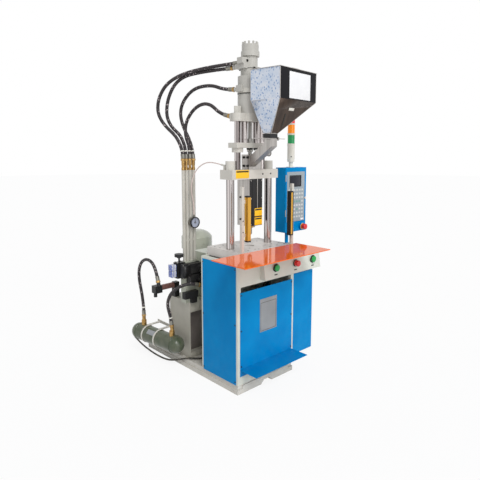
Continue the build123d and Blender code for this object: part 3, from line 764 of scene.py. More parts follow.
def bolts(name: str, places: Sequence[Point], axis: Point, radius: float, height: float,
          sides: int = 20) -> bpy.types.Object:
    """Model socket head screws at several places.

    Args:
        name: Name of the piece that holds them all.
        places: Where each head sits, in millimetres.
        axis: The way the heads point.
        radius: Radius of a head in millimetres.
        height: Height of a head in millimetres.
        sides: Sides of a head, 6 for a hexagon.

    Returns:
        All the heads as one piece.
    """
    profile = [(radius, -0.2), (radius, height * 0.85), (radius * 0.88, height), (radius * 0.5, height),
               (radius * 0.46, height * 0.5)]
    return at_places(turned(name, profile, places[0], axis, sides), places)


def skin_of(name: str, source: bpy.types.Object, test: Test, thickness: float) -> bpy.types.Object:
    """Peel off a CAD node's faces that pass a test, as a thin sheet laid on them.

    Args:
        name: Name of the new piece.
        source: The CAD node's object.
        test: Says which faces to keep, from their centre in millimetres and their normal.
        thickness: How far the sheet stands proud, in millimetres.

    Returns:
        The sheet.
    """
    obj = bpy.data.objects.new(name, source.data.copy())
    bpy.context.collection.objects.link(obj)
    edit_faces(obj, [not test(p.center / MM, p.normal) for p in obj.data.polygons])
    bpy.ops.mesh.delete(type="FACE")
    bpy.ops.mesh.select_all(action="SELECT")
    bpy.ops.mesh.remove_doubles(threshold=SKIN_WELD)
    bpy.ops.mesh.dissolve_limited(angle_limit=FLAT_ANGLE)
    bpy.ops.object.mode_set(mode="OBJECT")
    wall = obj.modifiers.new("Wall", "SOLIDIFY")
    wall.thickness = thickness * MM
    wall.offset = 1.0
    bpy.ops.object.modifier_apply(modifier=wall.name)
    return obj


@dataclass
class Workshop:
    """What every sub-assembly needs: the CAD nodes and the finishes."""

    nodes: dict[str, bpy.types.Object]
    shelf: FinishShelf

    def fit(self, piece: bpy.types.Object, body: Body, finish: str, *replaced: str) -> None:
        """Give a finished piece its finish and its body.

        Args:
            piece: The new piece.
            body: The body that it rides on.
            finish: Name of its finish.
            replaced: CAD nodes that it stands for.
        """
        self.shelf.dress(piece, finish)
        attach(piece, body.value)
        if replaced:
            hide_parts(*replaced)
        LOG.info("%s rides on %s in %s", piece.name, body.value, finish)


@dataclass
class Assembly:
    """A sub-assembly, whose pieces ride on its own body unless a call names another."""

    shop: Workshop

    BODY: ClassVar[Body] = Body.MACHINE

    def fit(self, piece: bpy.types.Object, finish: str, *replaced: str, body: Body | None = None) -> None:
        """Fit a piece in a finish, in place of CAD nodes where they are named."""
        self.shop.fit(piece, body or self.BODY, finish, *replaced)


# Studio


@dataclass
class Studio:
    """Floor, soft lamps, white background and the camera of the photograph, placed in metres."""

    camera_place: Point = (-2.0825, -2.139, 1.468)
    sensor_width: float = 36.0
    far_limit: float = 200.0
    camera_tilt: float = 82.39
    camera_turn: float = -43.15
    lens: float = 35.175
    image_side: int = 480
    shift_pixels: tuple[float, float] = (-1.0, -25.1)
    key_lamp: tuple[Point, float, float] = ((0.42, 0.95, -1.1), 1.45, 22)
    side_lamp: tuple[Point, float, float] = ((0.12, 1.0, -0.3), 0.7, 40)
    room_colour: tuple[float, float, float, float] = (0.97, 0.98, 1.0, 1)
    room_strength: float = 0.62
    floor_radius: float = 30.0
    floor_middle: Point = (0.0, 0.3, -0.0008)
    floor_grain: float = 3.0
    floor_greys: tuple[float, float] = (0.82, 0.86)
    floor_glow: float = 0.88

    def add_camera(self) -> None:
        """Create the camera at the photograph's place and angle."""
        data = bpy.data.cameras.new("photo_camera")
        data.sensor_width = self.sensor_width
        data.lens = self.lens
        data.shift_x = self.shift_pixels[0] / self.image_side
        data.shift_y = self.shift_pixels[1] / self.image_side
        data.clip_end = self.far_limit
        camera = bpy.data.objects.new("photo_camera", data)
        camera.location = self.camera_place
        camera.rotation_euler = (math.radians(self.camera_tilt), 0, math.radians(self.camera_turn))
        bpy.context.collection.objects.link(camera)
        bpy.context.scene.camera = camera

    def add_lamp(self, name: str, direction: Point, strength: float, spread: float) -> None:
        """Add a distant lamp.

        Args:
            name: Name of the lamp.
            direction: The way its light travels.
            strength: Its strength.
            spread: Its angular width in degrees, which softens shadows.
        """
        data = bpy.data.lights.new(name, "SUN")
        data.energy = strength
        data.angle = math.radians(spread)
        lamp = bpy.data.objects.new(name, data)
        lamp.rotation_euler = Vector(direction).to_track_quat("-Z", "Y").to_euler()
        bpy.context.collection.objects.link(lamp)

    def seen_rays(self, sheet: NodeSheet) -> bpy.types.NodeSocket:
        """Tell the rays that see the background from those that only light the machine.

        Args:
            sheet: The node sheet to work in.

        Returns:
            1 for camera, glossy and transmission rays, and 0 for the others.
        """
        rays = sheet.add("LightPath").outputs
        seen = sheet.calc("MAXIMUM", rays["Is Camera Ray"], rays["Is Glossy Ray"])
        return sheet.calc("MAXIMUM", seen, rays["Is Transmission Ray"])

    def add_world(self) -> None:
        """Light the room softly, and show white to the camera."""
        world = bpy.data.worlds.new("studio")
        bpy.context.scene.world = world
        world.use_nodes = True
        sheet = NodeSheet(world.node_tree)
        light = sheet.add("Background", {"Color": self.room_colour, "Strength": self.room_strength})
        white = sheet.add("Background", {"Color": (1, 1, 1, 1), "Strength": 1.0})
        sheet.finish("OutputWorld", self.seen_rays(sheet), light, white)

    def add_floor(self) -> None:
        """Lay a white floor that keeps the machine's shadow."""
        bpy.ops.object.select_all(action="DESELECT")
        bpy.ops.mesh.primitive_circle_add(vertices=64, radius=self.floor_radius, fill_type="NGON",
                                          location=self.floor_middle)
        floor = settle(bpy.context.object)
        floor.name = "studio_floor"
        material, sheet = new_material("floor_white")
        grain = sheet.noise(sheet.add("TexCoord").outputs["Object"], self.floor_grain, 3)
        matt = sheet.add("BsdfDiffuse", {
            "Color": sheet.blend(grain, *[(grey, grey, grey, 1) for grey in self.floor_greys])})
        glow = sheet.add("Emission", {"Color": (1, 1, 1, 1)})
        share = sheet.calc("MULTIPLY", self.seen_rays(sheet), self.floor_glow)
        sheet.finish("OutputMaterial", share, matt, glow)
        floor.data.materials.append(material)

    def build(self) -> None:
        """Make the whole studio."""
        bpy.context.scene.view_settings.view_transform = "Standard"
        self.add_camera()
        self.add_lamp("key_lamp", *self.key_lamp)
        self.add_lamp("side_lamp", *self.side_lamp)
        self.add_world()
        self.add_floor()
        LOG.info("studio built")


# Hoses, tube and cord


@dataclass(frozen=True)
class Line:
    """A hose, tube or cord: its CAD node, real length and control points, in millimetres."""

    node: str
    length: float
    points: Sequence[Point]
    diameter: float = 22.0
    finish: str = "hose_cover"
    far_end: FarEnd = FarEnd.OBJECT
    stiffness: Stiffness = Stiffness.STIFF


def swing(x: float, end: Point, corners: Sequence[tuple[float, float]]) -> list[Point]:
    """Give the route of a hose that swings from its pipe to the head in one upright plane.

    Args:
        x: Where the pipe stands.
        end: The hose's end on the head.
        corners: Distance back and height of each control point.

    Returns:
        The control points, from the pipe to the head.
    """
    pipe_back, pipe_top = 363, 1412
    slope = (end[0] - x) / (end[1] - pipe_back)
    return [(x, pipe_back, pipe_top), *[(x + slope * (y - pipe_back), y, z) for y, z in corners], end]


@dataclass
class Cords(Assembly):
    """The hoses, the gauge tube and the power cord.

    Routes are those of the part's source, moved to the photograph.
    """

    paths: dict[str, list[Vector]] = field(default_factory=dict)

    HEAD_HOSES: ClassVar[tuple[Line, ...]] = (
        Line("hose_1", 1132.0, swing(-254, (-50, 39, 2013), [
            (363, 1532), (504, 1676), (509, 1810), (432, 1934), (245, 1995)])),
        Line("hose_2", 1016.5, swing(-229, (-66, 85, 1985), [
            (363, 1548), (477, 1656), (477, 1802), (406, 1942), (245, 1976)])),
        Line("hose_3", 891.5, swing(-171, (-88, 45, 1850), [
            (363, 1505), (462, 1668), (459, 1780), (362, 1878), (218, 1892), (118, 1853)])),
        Line("hose_4", 697.7, swing(-200, (-118, 55, 1688), [
            (363, 1498), (397, 1576), (391, 1668), (312, 1760), (210, 1780), (118, 1699)])))
    GAUGE_TUBE: ClassVar[Line] = Line("gauge_tube", 547.4, [
        (-185, 62, 1392), (-189, 135, 1406), (-196, 212, 1402), (-208, 280, 1362), (-215, 322, 1292),
        (-214, 333, 1210), (-196, 331, 1128), (-196, 331, 1056)],
        7.0, "clear_tube", stiffness=Stiffness.MEDIUM)
    COOLER_HOSES: ClassVar[tuple[Line, ...]] = (
        Line("cooler_hose_a", 722.2, [
            (-355, 733, 290), (-355, 733, 396), (-361, 788, 590), (-359, 748, 694), (-361, 645, 732),
            (-364, 549, 688), (-368, 514, 586)]),
        Line("cooler_hose_b", 509.5, [
            (-329, 421, 290), (-335, 425, 362), (-360, 419, 432), (-375, 392, 498), (-376, 343, 560),
            (-338, 297, 604), (-272, 266, 616), (-206, 262, 592)]))
    POWER_CORD: ClassVar[Line] = Line("power_cord", 944.9, [
        (-245, 1062, 6.5), (-276, 930, 6.5), (-298, 790, 6.5), (-309, 650, 6.5), (-302, 520, 9),
        (-290, 420, 40), (-268, 345, 70), (-215, 290, 70), (-160, 250, 71), (-120, 196, 72)],
        12.0, "cord_cover", FarEnd.BARE, Stiffness.MEDIUM)
    RING_BORE: ClassVar[float] = 10.6
    RING_CHAMFER: ClassVar[float] = 0.8

    def draw_curve(self, name: str, points: Sequence[Point], diameter: float) -> bpy.types.Object:
        """Draw a smooth curve through control points, round when it has a diameter.

        Args:
            name: Name of the curve.
            points: Control points in millimetres.
            diameter: Diameter in millimetres, or 0 for the bare line.

        Returns:
            The curve object.
        """
        data = bpy.data.curves.new(name, "CURVE")
        data.dimensions = "3D"
        data.bevel_depth = diameter / 2 * MM
        data.bevel_resolution = 4
        data.use_fill_caps = True
        data.resolution_u = 12
        spline = data.splines.new("NURBS")
        spline.points.add(len(points) - 1)
        for control, point in zip(spline.points, points):
            control.co = (*mm(*point), 1)
        spline.order_u = 3
        spline.use_endpoint_u = True
        curve = bpy.data.objects.new(name, data)
        bpy.context.collection.objects.link(curve)
        return curve

    def follow(self, line: Line) -> list[Vector]:
        """Find the points that a line's middle passes.

        Args:
            line: The hose, tube or cord.

        Returns:
            The points in metres, from its first control point to its last.
        """
        curve = self.draw_curve(line.node + "_route", line.points, 0)
        bpy.context.view_layer.update()
        mesh = bpy.data.meshes.new_from_object(curve)
        points = [v.co.copy() for v in mesh.vertices]
        bpy.data.meshes.remove(mesh)
        bpy.data.objects.remove(curve)
        return points

    def moving_tube(self, line: Line, machine_end: Point, head_end: Point) -> list[Vector]:
        """Make a tube between the machine and the clamp head.

        Args:
            line: The hose or tube.
            machine_end: Not used.
            head_end: Not used.

        Returns:
            The points that it follows, in metres.
        """
        path = self.follow(line)
        take(self.draw_curve(line.node + "_skin", line.points, line.diameter))
        bpy.ops.object.convert(target="MESH")
        tube = bpy.context.object
        bpy.ops.object.shade_smooth_by_angle(angle=HOSE_SMOOTH)
        self.shop.shelf.dress(tube, line.finish)
        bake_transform(tube)
        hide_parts(line.node)
        LOG.info("%s bends between machine and clamp_head", tube.name)
        return path

    def fixed_cord(self, line: Line) -> None:
        """Make a cord or hose that stays with the machine.

        Args:
            line: The hose or cord.
        """
        cord = self.draw_curve(line.node + "_skin", line.points, line.diameter)
        self.fit(cord, line.finish, line.node)

    def at_distance(self, path: Sequence[Vector], along: float) -> Vector:
        """Walk along a path.

        Args:
            path: Its points in metres.
            along: Distance from its start in millimetres.

        Returns:
            The point there, in millimetres.
        """
        left = along * MM
        for first, second in zip(path, path[1:]):
            step = (second - first).length
            if left <= step:
                return first.lerp(second, left / step) / MM
            left -= step
        return path[-1] / MM

    def add_hose_end(self, name: str, path: Sequence[Vector], far: bool) -> None:
        """Crimp a nut, a ferrule and, near the exit, a pale ring on a hose.

        Args:
            name: Name of the hose.
            path: Points that the hose follows, from this end on.
            far: True for the far end, which on a head hose rides on the clamp head.
        """
        cooler = name.startswith("cooler")
        rings = [("nut", 1.0, 13.0, 15.5, 6, "brass_fitting"),
                 ("ferrule", 14.5, 30.0, 13.6, 40, "crimped_ferrule")]
        if not far:
            pale = ("band", 62.0, 9.0) if cooler else ("tag", 60.0, 8.0)
            rings.append((*pale, 12.2, 40, "white_plastic"))
        for suffix, along, length, outer, sides, finish in rings:
            first, last = self.at_distance(path, along), self.at_distance(path, along + length)
            ring = sleeve(f"{name}_{'far' if far else 'near'}_{suffix}", tuple(first), tuple(last - first),
                          self.RING_BORE, outer, length, self.RING_CHAMFER, sides)
            self.fit(ring, finish, body=Body.HEAD if far and not cooler else Body.MACHINE)

    def build(self) -> None:
        """Make all of them with their end fittings."""
        for line in self.HEAD_HOSES:
            self.paths[line.node] = self.moving_tube(line, line.points[0], line.points[-1])
        tube = self.GAUGE_TUBE
        self.moving_tube(tube, tube.points[-1], tube.points[0])
        for line in self.COOLER_HOSES:
            self.paths[line.node] = self.follow(line)
            self.fixed_cord(line)
        self.fixed_cord(self.POWER_CORD)
        for name, path in self.paths.items():
            self.add_hose_end(name, path, False)
            self.add_hose_end(name, path[::-1], True)
        relief = turned("cord_strain_relief", [(9.5, 0), (10, 2), (10, 9), (8.6, 12), (7.2, 40), (6.6, 44)],
                        self.POWER_CORD.points[-1], (-40, 54, -1), 24)
        self.fit(relief, "black_plastic")


# CAD nodes


@dataclass
class FramePieces(Assembly):
    """The CAD nodes whose shape stays, each with the finish of its material slot or its own."""

    OWN_FINISH: ClassVar[dict[str, str]] = {
        # The tank's own finish is its grey with painted shade.
        "bed_plate": "bed_grey", "pressure_pipes": "pipe_grey", "tank": "tank_grey",
        "injection_cylinder": "head_grey", "hydraulic_motor": "head_grey",
        "cabinet_frame": "cabinet_grey", "console": "cabinet_grey"}

    def build(self) -> None:
        """Give every CAD node its finish."""
        by_slot: dict[str, str] = {}
        for finish in FINISHES:
            by_slot.setdefault(finish.slot, finish.name)
        for name, node in self.shop.nodes.items():
            for index, holder in enumerate(node.material_slots):
                slot = holder.material.name.split(".")[0] if holder.material else ""
                finish = self.OWN_FINISH.get(name, by_slot.get(slot))
                if finish:
                    holder.material = self.shop.shelf.materials[finish]
                else:
                    LOG.warning("%s slot %d is called %s", name, index, slot)
        LOG.info("%d nodes have their finishes", len(self.shop.nodes))


# Sub-assemblies


@dataclass
class Cabinet(Assembly):
    """Tapped holes of the bed, the bare front plate, and the buttons' legends, caps and bezels."""

    plate_low: Point = (-76.0, -171.4, 350.0)
    plate_high: Point = (77.0, -169.9, 563.0)
    button_places: Point = (25.0, 212.0, 388.0)
    button_height: float = 756.0
    button_radius: float = 20.5
    stop_radius: float = 20.0
    bed_top: float = 870.0

    def add_bed_holes(self) -> None:
        """Set the tapped holes of the bed's top, each a dark disc of painted shade in a bright countersink.
        """
        grids = (((-190, -120, -60, 80, 140, 210), (-110, -60, 75, 125)), ((-40, 60), (-120, 140)))
        places = [(x, y, self.bed_top) for columns, rows in grids for x in columns for y in rows]
        # The dark discs in the holes are painted shade.
        for name, outer, inner, high, finish in (("bed_countersinks", 7.2, 5.2, 0.15, "machined_steel"),
                                                 ("bed_hole_mouths", 5.2, 0.5, 0.2, "label_ink")):
            ring = turned(name, [(outer, -0.1), (outer, high), (inner, high)], places[0], sides=20)
            self.fit(at_places(ring, places), finish)

    def add_legends(self) -> None:
        """Fix a bare dark legend plate under each button of the console."""
        plates = [plate("legend", (x, -210.1, 712), RIGHT, (0, 15, 110), (27, 7, 0.8), 0.3)
                  for x in self.button_places]
        self.fit(join("console_legends", plates), "label_ink")

    def add_plate(self) -> None:
        """Fix the bare plate to the front panel, with a border and four rivets."""
        (x0, y, z0), (x1, _, z1) = self.plate_low, self.plate_high
        self.fit(block("front_instruction_plate", self.plate_low, self.plate_high, 0.4), "plate_grey")
        strips = ((x0 + 6, z1 - 26, x1 - 6, z1 - 24), (x0 + 6, z0 + 6, x1 - 6, z0 + 8),
                  (x0 + 6, z0 + 8, x0 + 8, z1 - 26), (x1 - 8, z0 + 8, x1 - 6, z1 - 26))
        border = [block("border", (left, y - 0.25, low), (right, y + 0.1, high))
                  for left, low, right, high in strips]
        self.fit(join("plate_border", border), "label_ink")
        corners = [(x, y, z) for x in (x0 + 4, x1 - 4) for z in (z0 + 3.5, z1 - 4)]
        rivets = turned("plate_rivets", [(2.2, -0.2), (2.0, 0.5), (1.0, 0.9)], corners[0], FRONT, 12)
        self.fit(at_places(rivets, corners), "brushed_stainless")

    def add_caps(self) -> None:
        """Give the push buttons their domed lenses and the stops their mushroom domes."""
        left, middle, right = self.button_places
        radius = self.button_radius
        lens = [(radius, -6.5), (radius, 0.6), (radius - 2.4, 1.9), (radius - 6, 2.7), (3, 3.2)]
        for name, body, x in (("button_left_cap", Body.BUTTON_LEFT, left),
                              ("button_right_cap", Body.BUTTON_RIGHT, right)):
            self.fit(turned(name, lens, (x, -224, self.button_height), FRONT, 40), "green_cap", body=body)
        radius = self.stop_radius
        dome = [(radius, -0.3), (radius - 0.4, 1.6), (radius - 3, 3.8), (radius - 8, 5.4), (4, 6.0)]
        for name, body, place in (
                ("console_stop_dome", Body.CONSOLE_STOP, (middle, -236, self.button_height)),
                ("control_stop_dome", Body.CONTROL_STOP, (476, -72, 950))):
            self.fit(turned(name, dome, place, FRONT, 48), "red_cap", body=body)

    def add_bezels(self) -> None:
        """Lay a thin bezel round each button on the console and the control box."""
        sizes = zip(self.button_places, (26.0, 24.0, 26.0), (2.4, 1.1, 2.4))
        bezels = [sleeve("bezel", (x, -209.6, self.button_height), FRONT, 17.2, outer, high, 0.5, 40)
                  for x, outer, high in sizes]
        self.fit(join("console_bezels", bezels), "black_plastic")
        ring = sleeve("control_stop_bezel", (476, -45.5, 950), FRONT, 12.0, 22.6, 1.1, 0.4, 40)
        self.fit(ring, "yellow_label")

    def build(self) -> None:
        """Dress the cabinet."""
        self.add_bed_holes()
        self.add_legends()
        self.add_plate()
        self.add_caps()
        self.add_bezels()


@dataclass
class ControlBox(Assembly):
    """Door, keypad, screen, lock and hinges of the blue control box."""

    face: float = -28.0
    door_depth: float = 2.2
    key_columns: int = 6
    key_rows: int = 8
    key_low: tuple[float, float] = (333.0, 1202.0)
    key_size: tuple[float, float] = (19.0, 13.0)
    key_pitch: tuple[float, float] = (28.0, 26.5)
    tinted_keys: tuple[int, ...] = (20, 21, 22, 33)

    def add_door(self) -> None:
        """Lay the door on the front, with a lock and two hinges."""
        skin = self.face - self.door_depth
        self.fit(block("control_door", (312.5, skin, 985), (523.5, self.face + 0.2, 1359.5), 1.0),
                 "blue_paint")
        lock = turned("control_lock", [(8, -0.2), (8, 2.6), (6.6, 3.4), (6.2, 2.4), (2.0, 2.2)],
                      (515.5, skin, 1148), FRONT, 32)
        self.fit(lock, "hard_chrome")
        hinges = [rod("hinge", (311, skin - 1, z), (311, skin - 1, z + 46), 3.1) for z in (1030, 1270)]
        self.fit(join("control_hinges", hinges), "brushed_stainless")

    def add_keypad(self) -> None:
        """Lay the grey keypad with its screen, rows of keys and bare card."""
        skin = self.face - self.door_depth
        self.fit(block("keypad_sheet", (323, skin - 1.2, 990), (508, skin + 0.1, 1335), 0.5), "keypad_film")
        frame = block("screen_frame", (347, skin - 4.0, 1232), (469, skin - 1.1, 1311), 0.8)
        self.fit(push_front(frame, 5.5, 2.0), "black_plastic")
        self.fit(block("screen_pane", (353, skin - 2.6, 1238), (463, skin - 1.2, 1305), 0.3), "screen_glass")
        moves = [Matrix.Translation(mm(c * self.key_pitch[0], 0, -r * self.key_pitch[1]))
                 for r in range(self.key_rows) for c in range(self.key_columns)]
        pale = [i for i in range(len(moves)) if i not in self.tinted_keys]
        (x, z), (width, height) = self.key_low, self.key_size
        for name, places, finish in (("pale_keys", pale, "key_pale"),
                                     ("tinted_keys", self.tinted_keys, "key_green")):
            key = block(name, (x, skin - 2.3, z), (x + width, skin - 1.0, z + height), 0.6)
            key.data.transform(moves[places[0]])
            back = moves[places[0]].inverted()
            self.fit(repeat(key, [back @ moves[i] for i in places[1:]]), finish)
        self.fit(block("keypad_card", (468, skin - 1.8, 996), (500, skin - 1.0, 1008), 0.2), "paper_sheet")

    def build(self) -> None:
        """Make the door and the keypad."""
        self.add_door()
        self.add_keypad()


@dataclass
class SignalTower(Assembly):
    """Three-lens signal tower on a pale tube, in place of its CAD node."""

    centre: tuple[float, float] = (413.5, 17.0)
    lens_radius: float = 25.0
    rib_depth: float = 0.9
    rib_pitch: float = 4.0
    lenses: tuple[tuple[str, float, float, str], ...] = (
        ("tower_green_lens", 1528.0, 1585.0, "green_lens"),
        ("tower_amber_lens", 1597.0, 1654.0, "amber_lens"),
        ("tower_red_lens", 1665.0, 1722.0, "red_lens"))

    def lens_profile(self, height: float) -> Profile:
        """Give a lens profile with shallow ribs, as pressed plastic has.

        Args:
            height: Height of the lens in millimetres.

        Returns:
            Radii and heights.
        """
        ribs, neck = int(height / self.rib_pitch), self.lens_radius - 3
        profile = [(self.lens_radius - self.rib_depth * (i % 2), height * i / ribs) for i in range(ribs + 1)]
        return [(neck, -0.5), *profile, (neck, height + 0.5)]

    def build(self) -> None:
        """Make the foot, the tube, the lenses, the rings and the cap."""
        x, y = self.centre
        body = turned("tower_body", [(32, 0), (32, 3), (30, 4), (15, 4.4), (14, 8), (14, 34), (17, 37),
                                     (25, 39), (25.4, 42), (25.4, 148), (27, 150), (27, 163), (24, 164)],
                      (x, y, 1364), sides=48)
        self.fit(body, "white_plastic", "signal_tower")
        for name, low, high, finish in self.lenses:
            self.fit(turned(name, self.lens_profile(high - low), (x, y, low), sides=48), finish)
        rings = [sleeve("ring", (x, y, low), UP, 20, 27, high - low, 1.0, 48)
                 for low, high in ((1585, 1597), (1654, 1665))]
        rings.append(turned("cap", [(27, 0), (27, 3), (25, 5.5), (19, 7.2), (4, 8)], (x, y, 1722), sides=48))
        self.fit(join("tower_rings", rings), "white_plastic")
        screw = turned("tower_screw", [(4, -0.5), (4, 1.6), (3, 2.2)], (x - 18, y - 18, 1438),
                       (-1, -1, 0), 16)
        self.fit(screw, "oxide_black")


@dataclass
class LightCurtains(Assembly):
    """Black end caps, covers and screws of the two light curtain bars."""

    left: tuple[Point, Point] = ((-192.0, -181.0, 940.0), (-167.0, -153.0, 1214.0))
    right: tuple[Point, Point] = ((187.0, -185.0, 936.0), (211.0, -153.0, 1222.0))
    cap_height: float = 9.0

    def add_caps(self) -> None:
        """Put a cap over each end of both bars."""
        caps = [block("cap", (low[0] - 0.7, low[1] - 0.7, bottom),
                      (high[0] + 0.7, high[1] + 0.7, bottom + self.cap_height), 1.6)
                for low, high in (self.left, self.right)
                for bottom in (low[2] - 0.4, high[2] - self.cap_height + 0.4)]
        self.fit(join("curtain_caps", caps), "black_plastic")

    def add_covers(self) -> None:
        """Lay the black covers: side and front strips on the right bar, a side strip on the left."""
        (x0, y0, z0), (x1, y1, z1) = self.right
        strips = [(x0 - 0.8, x0 + 0.2, y0 - 0.5, y1), (x0 - 0.4, x0 + 1.5, y0 - 0.8, y0 + 0.2),
                  (x1 - 6.5, x1 + 0.4, y0 - 0.8, y0 + 0.2)]
        covers = [block("cover", (left, front, z0 + 8), (right, back, z1 - 8), 0.3)
                  for left, right, front, back in strips]
        (_, y0, z0), (x1, y1, z1) = self.left
        covers.append(block("cover", (x1 - 0.2, y0 + 6, z0 + 8), (x1 + 0.8, y1 - 6, z1 - 8), 0.3))
        self.fit(join("curtain_covers", covers), "black_plastic")

    def build(self) -> None:
        """Dress both bars and their posts."""
        self.add_caps()
        self.add_covers()
        knobs = [(-225, -156, 1210), (-225, -156, 1081), (219, -150, 1190), (219, -150, 1010)]
        self.fit(bolts("curtain_post_knobs", knobs, LEFT, 5.2, 8), "oxide_black")
        screws = [(-216, -165, 1067), (-216, -165, 1001), (228, -165, 1066), (228, -165, 1000)]
        self.fit(bolts("curtain_post_screws", screws, FRONT, 3.6, 2.6), "oxide_black")


@dataclass
class ClampHead(Assembly):
    """Bare labels, heater band, thermocouple, cover and screws of the clamp head."""

    platen_front: float = -56.0
    labels: tuple[tuple[str, float, float, float, float], ...] = (
        ("platen_label", -172.0, -62.0, 1310.0, 1360.0), ("cover_label_high", -12.0, 55.0, 1067.0, 1117.0),
        ("cover_label_low", -12.0, 55.0, 1009.0, 1059.0))

    BODY: ClassVar[Body] = Body.HEAD

    def add_labels(self) -> None:
        """Stick on the bare yellow labels, each with a dark strip along its top."""
        y = self.platen_front
        for name, x0, x1, z0, z1 in self.labels:
            self.fit(block(name, (x0, y - 1.0, z0), (x1, y + 0.1, z1), 0.3), "yellow_label")
            strip = block(name + "_strip", (x0 + 4, y - 1.3, z1 - 14), (x1 - 4, y - 0.8, z1 - 5), 0.1)
            self.fit(strip, "label_ink")

    def add_cover(self) -> None:
        """Add the heater cover's pale rod, ribs, screws and bright left side."""
        y = self.platen_front
        self.fit(rod("cover_rod", (8, y - 3.2, 1118), (8, y - 3.2, 1303), 2.6), "brushed_stainless")
        ribs = [block("rib", (x, y - 2.2, 1012), (x + 4, y + 0.2, 1299), 0.8) for x in (-52, -34)]
        self.fit(join("cover_ribs", ribs), "black_paint")
        places = [(x, y, z) for x in (-44, 48) for z in (1292, 1180)] + [(-44, y, 1016)]
        self.fit(bolts("cover_screws", places, FRONT, 3.4, 2.4), "brushed_stainless")
        side = skin_of("cover_side_sheet", self.shop.nodes["heater_cover"],
                       lambda c, n: n.x < -0.9 and c.x < -55.5, 0.6)
        self.fit(side, "brushed_stainless")

    def add_barrel_fittings(self) -> None:
        """Fit the nozzle's heater band with its clamp and the stiff thermocouple."""
        band = sleeve("nozzle_heater_band", (0, 0, 992.5), UP, 30.2, 33.6, 12, 0.6, 48)
        clamp = block("clamp", (-8, -40, 993.5), (8, -32.5, 1003.5), 1.0)
        self.fit(join("nozzle_heater_band", [band, clamp]), "brushed_stainless")
        probe = rod("thermocouple", (-18, -38, 991.5), (-18, -38, 1012), 4.0)
        nut = turned("nut", [(7, 0), (7, 7)], (-18, -38, 998), sides=6)
        self.fit(join("thermocouple", [probe, nut]), "brass_fitting")

    def add_chute_cap(self) -> None:
        """Screw the cap on the chute's clean-out stub, with its dark seal."""
        cap = turned("chute_cap", [(17.6, 0), (17.6, 17), (16, 19), (7, 19.4), (6, 20)],
                     (37.8, -117, 1462), RIGHT, 40)
        self.fit(cap, "brushed_stainless")
        self.fit(sleeve("chute_cap_seal", (49, -117, 1462), RIGHT, 17.4, 19.6, 3.2, 0.6, 40), "label_ink")

    def add_bolts(self) -> None:
        """Bolt the throat block, and plug the platen's front."""
        places = [(-52, y, z) for y in (0, -34) for z in (1436, 1384)]
        self.fit(bolts("throat_bolts", places, LEFT, 7.5, 8), "oxide_black")
        places = [(x, self.platen_front, 1332) for x in (60, 132)]
        self.fit(bolts("platen_front_plugs", places, FRONT, 5.5, 1.4), "oxide_black")

    def build(self) -> None:
        """Dress the clamp head."""
        self.add_labels()
        self.add_cover()
        self.add_barrel_fittings()
        self.add_chute_cap()
        self.add_bolts()


@dataclass
class InjectionStack(Assembly):
    """Rings, plugs and bolt heads of the injection cylinder and the screw motor."""

    radius: float = 77.6

    BODY: ClassVar[Body] = Body.HEAD

    def add_rings(self) -> None:
        """Wrap the pale band and the dark gaskets round the cylinder."""
        inner = self.radius - 0.5
        band = sleeve("cylinder_band", (0, 0, 1827), UP, inner, self.radius + 1.8, 28, 0.8, 96)
        self.fit(band, "grey_paint")
        gaskets = [sleeve("gasket", (0, 0, 1823), UP, inner, self.radius + 0.9, 4, 0.3, 96),
                   sleeve("gasket", (0, 0, 1972), UP, 58.4, 60.2, 3.5, 0.3, 64)]
        self.fit(join("cylinder_gaskets", gaskets), "label_ink")

    def add_screws(self) -> None:
        """Set the bolt heads and plugs of the cylinder and the motor, and the crosshead's nuts."""
        ring = circle((0, 0, 1971), 68.2, (22.5, 67.5, 112.5, 157.5, 247.5, 292.5, 337.5))
        self.fit(bolts("cylinder_bolts", ring, UP, 6.5, 8), "oxide_black")
        plug = turned("motor_plug", [(8, -0.3), (8, 3), (7, 3.8), (4, 3.8), (3.6, 1.5)], (-56, -32, 2016),
                      FRONT, 24)
        self.fit(plug, "oxide_black")
        places = [(30, -71.6, z) for z in (1740, 1930)]
        self.fit(bolts("cylinder_port_plugs", places, (0.39, -0.92, 0), 8.5, 4), "oxide_black")
        ring = circle((0, 0, 2134.6), 44, range(0, 360, 36))
        self.fit(bolts("motor_cap_screws", ring, DOWN, 5.2, 1.2), "grey_paint")
        places = [(x, -26, 1494.5) for x in (-42, -16, 16, 42)]
        self.fit(bolts("crosshead_nuts", places, DOWN, 9.5, 11, 6), "oxide_black", body=Body.INJECTION)

    def build(self) -> None:
        """Dress the cylinder, the motor and the crosshead."""
        self.add_rings()
        self.add_screws()


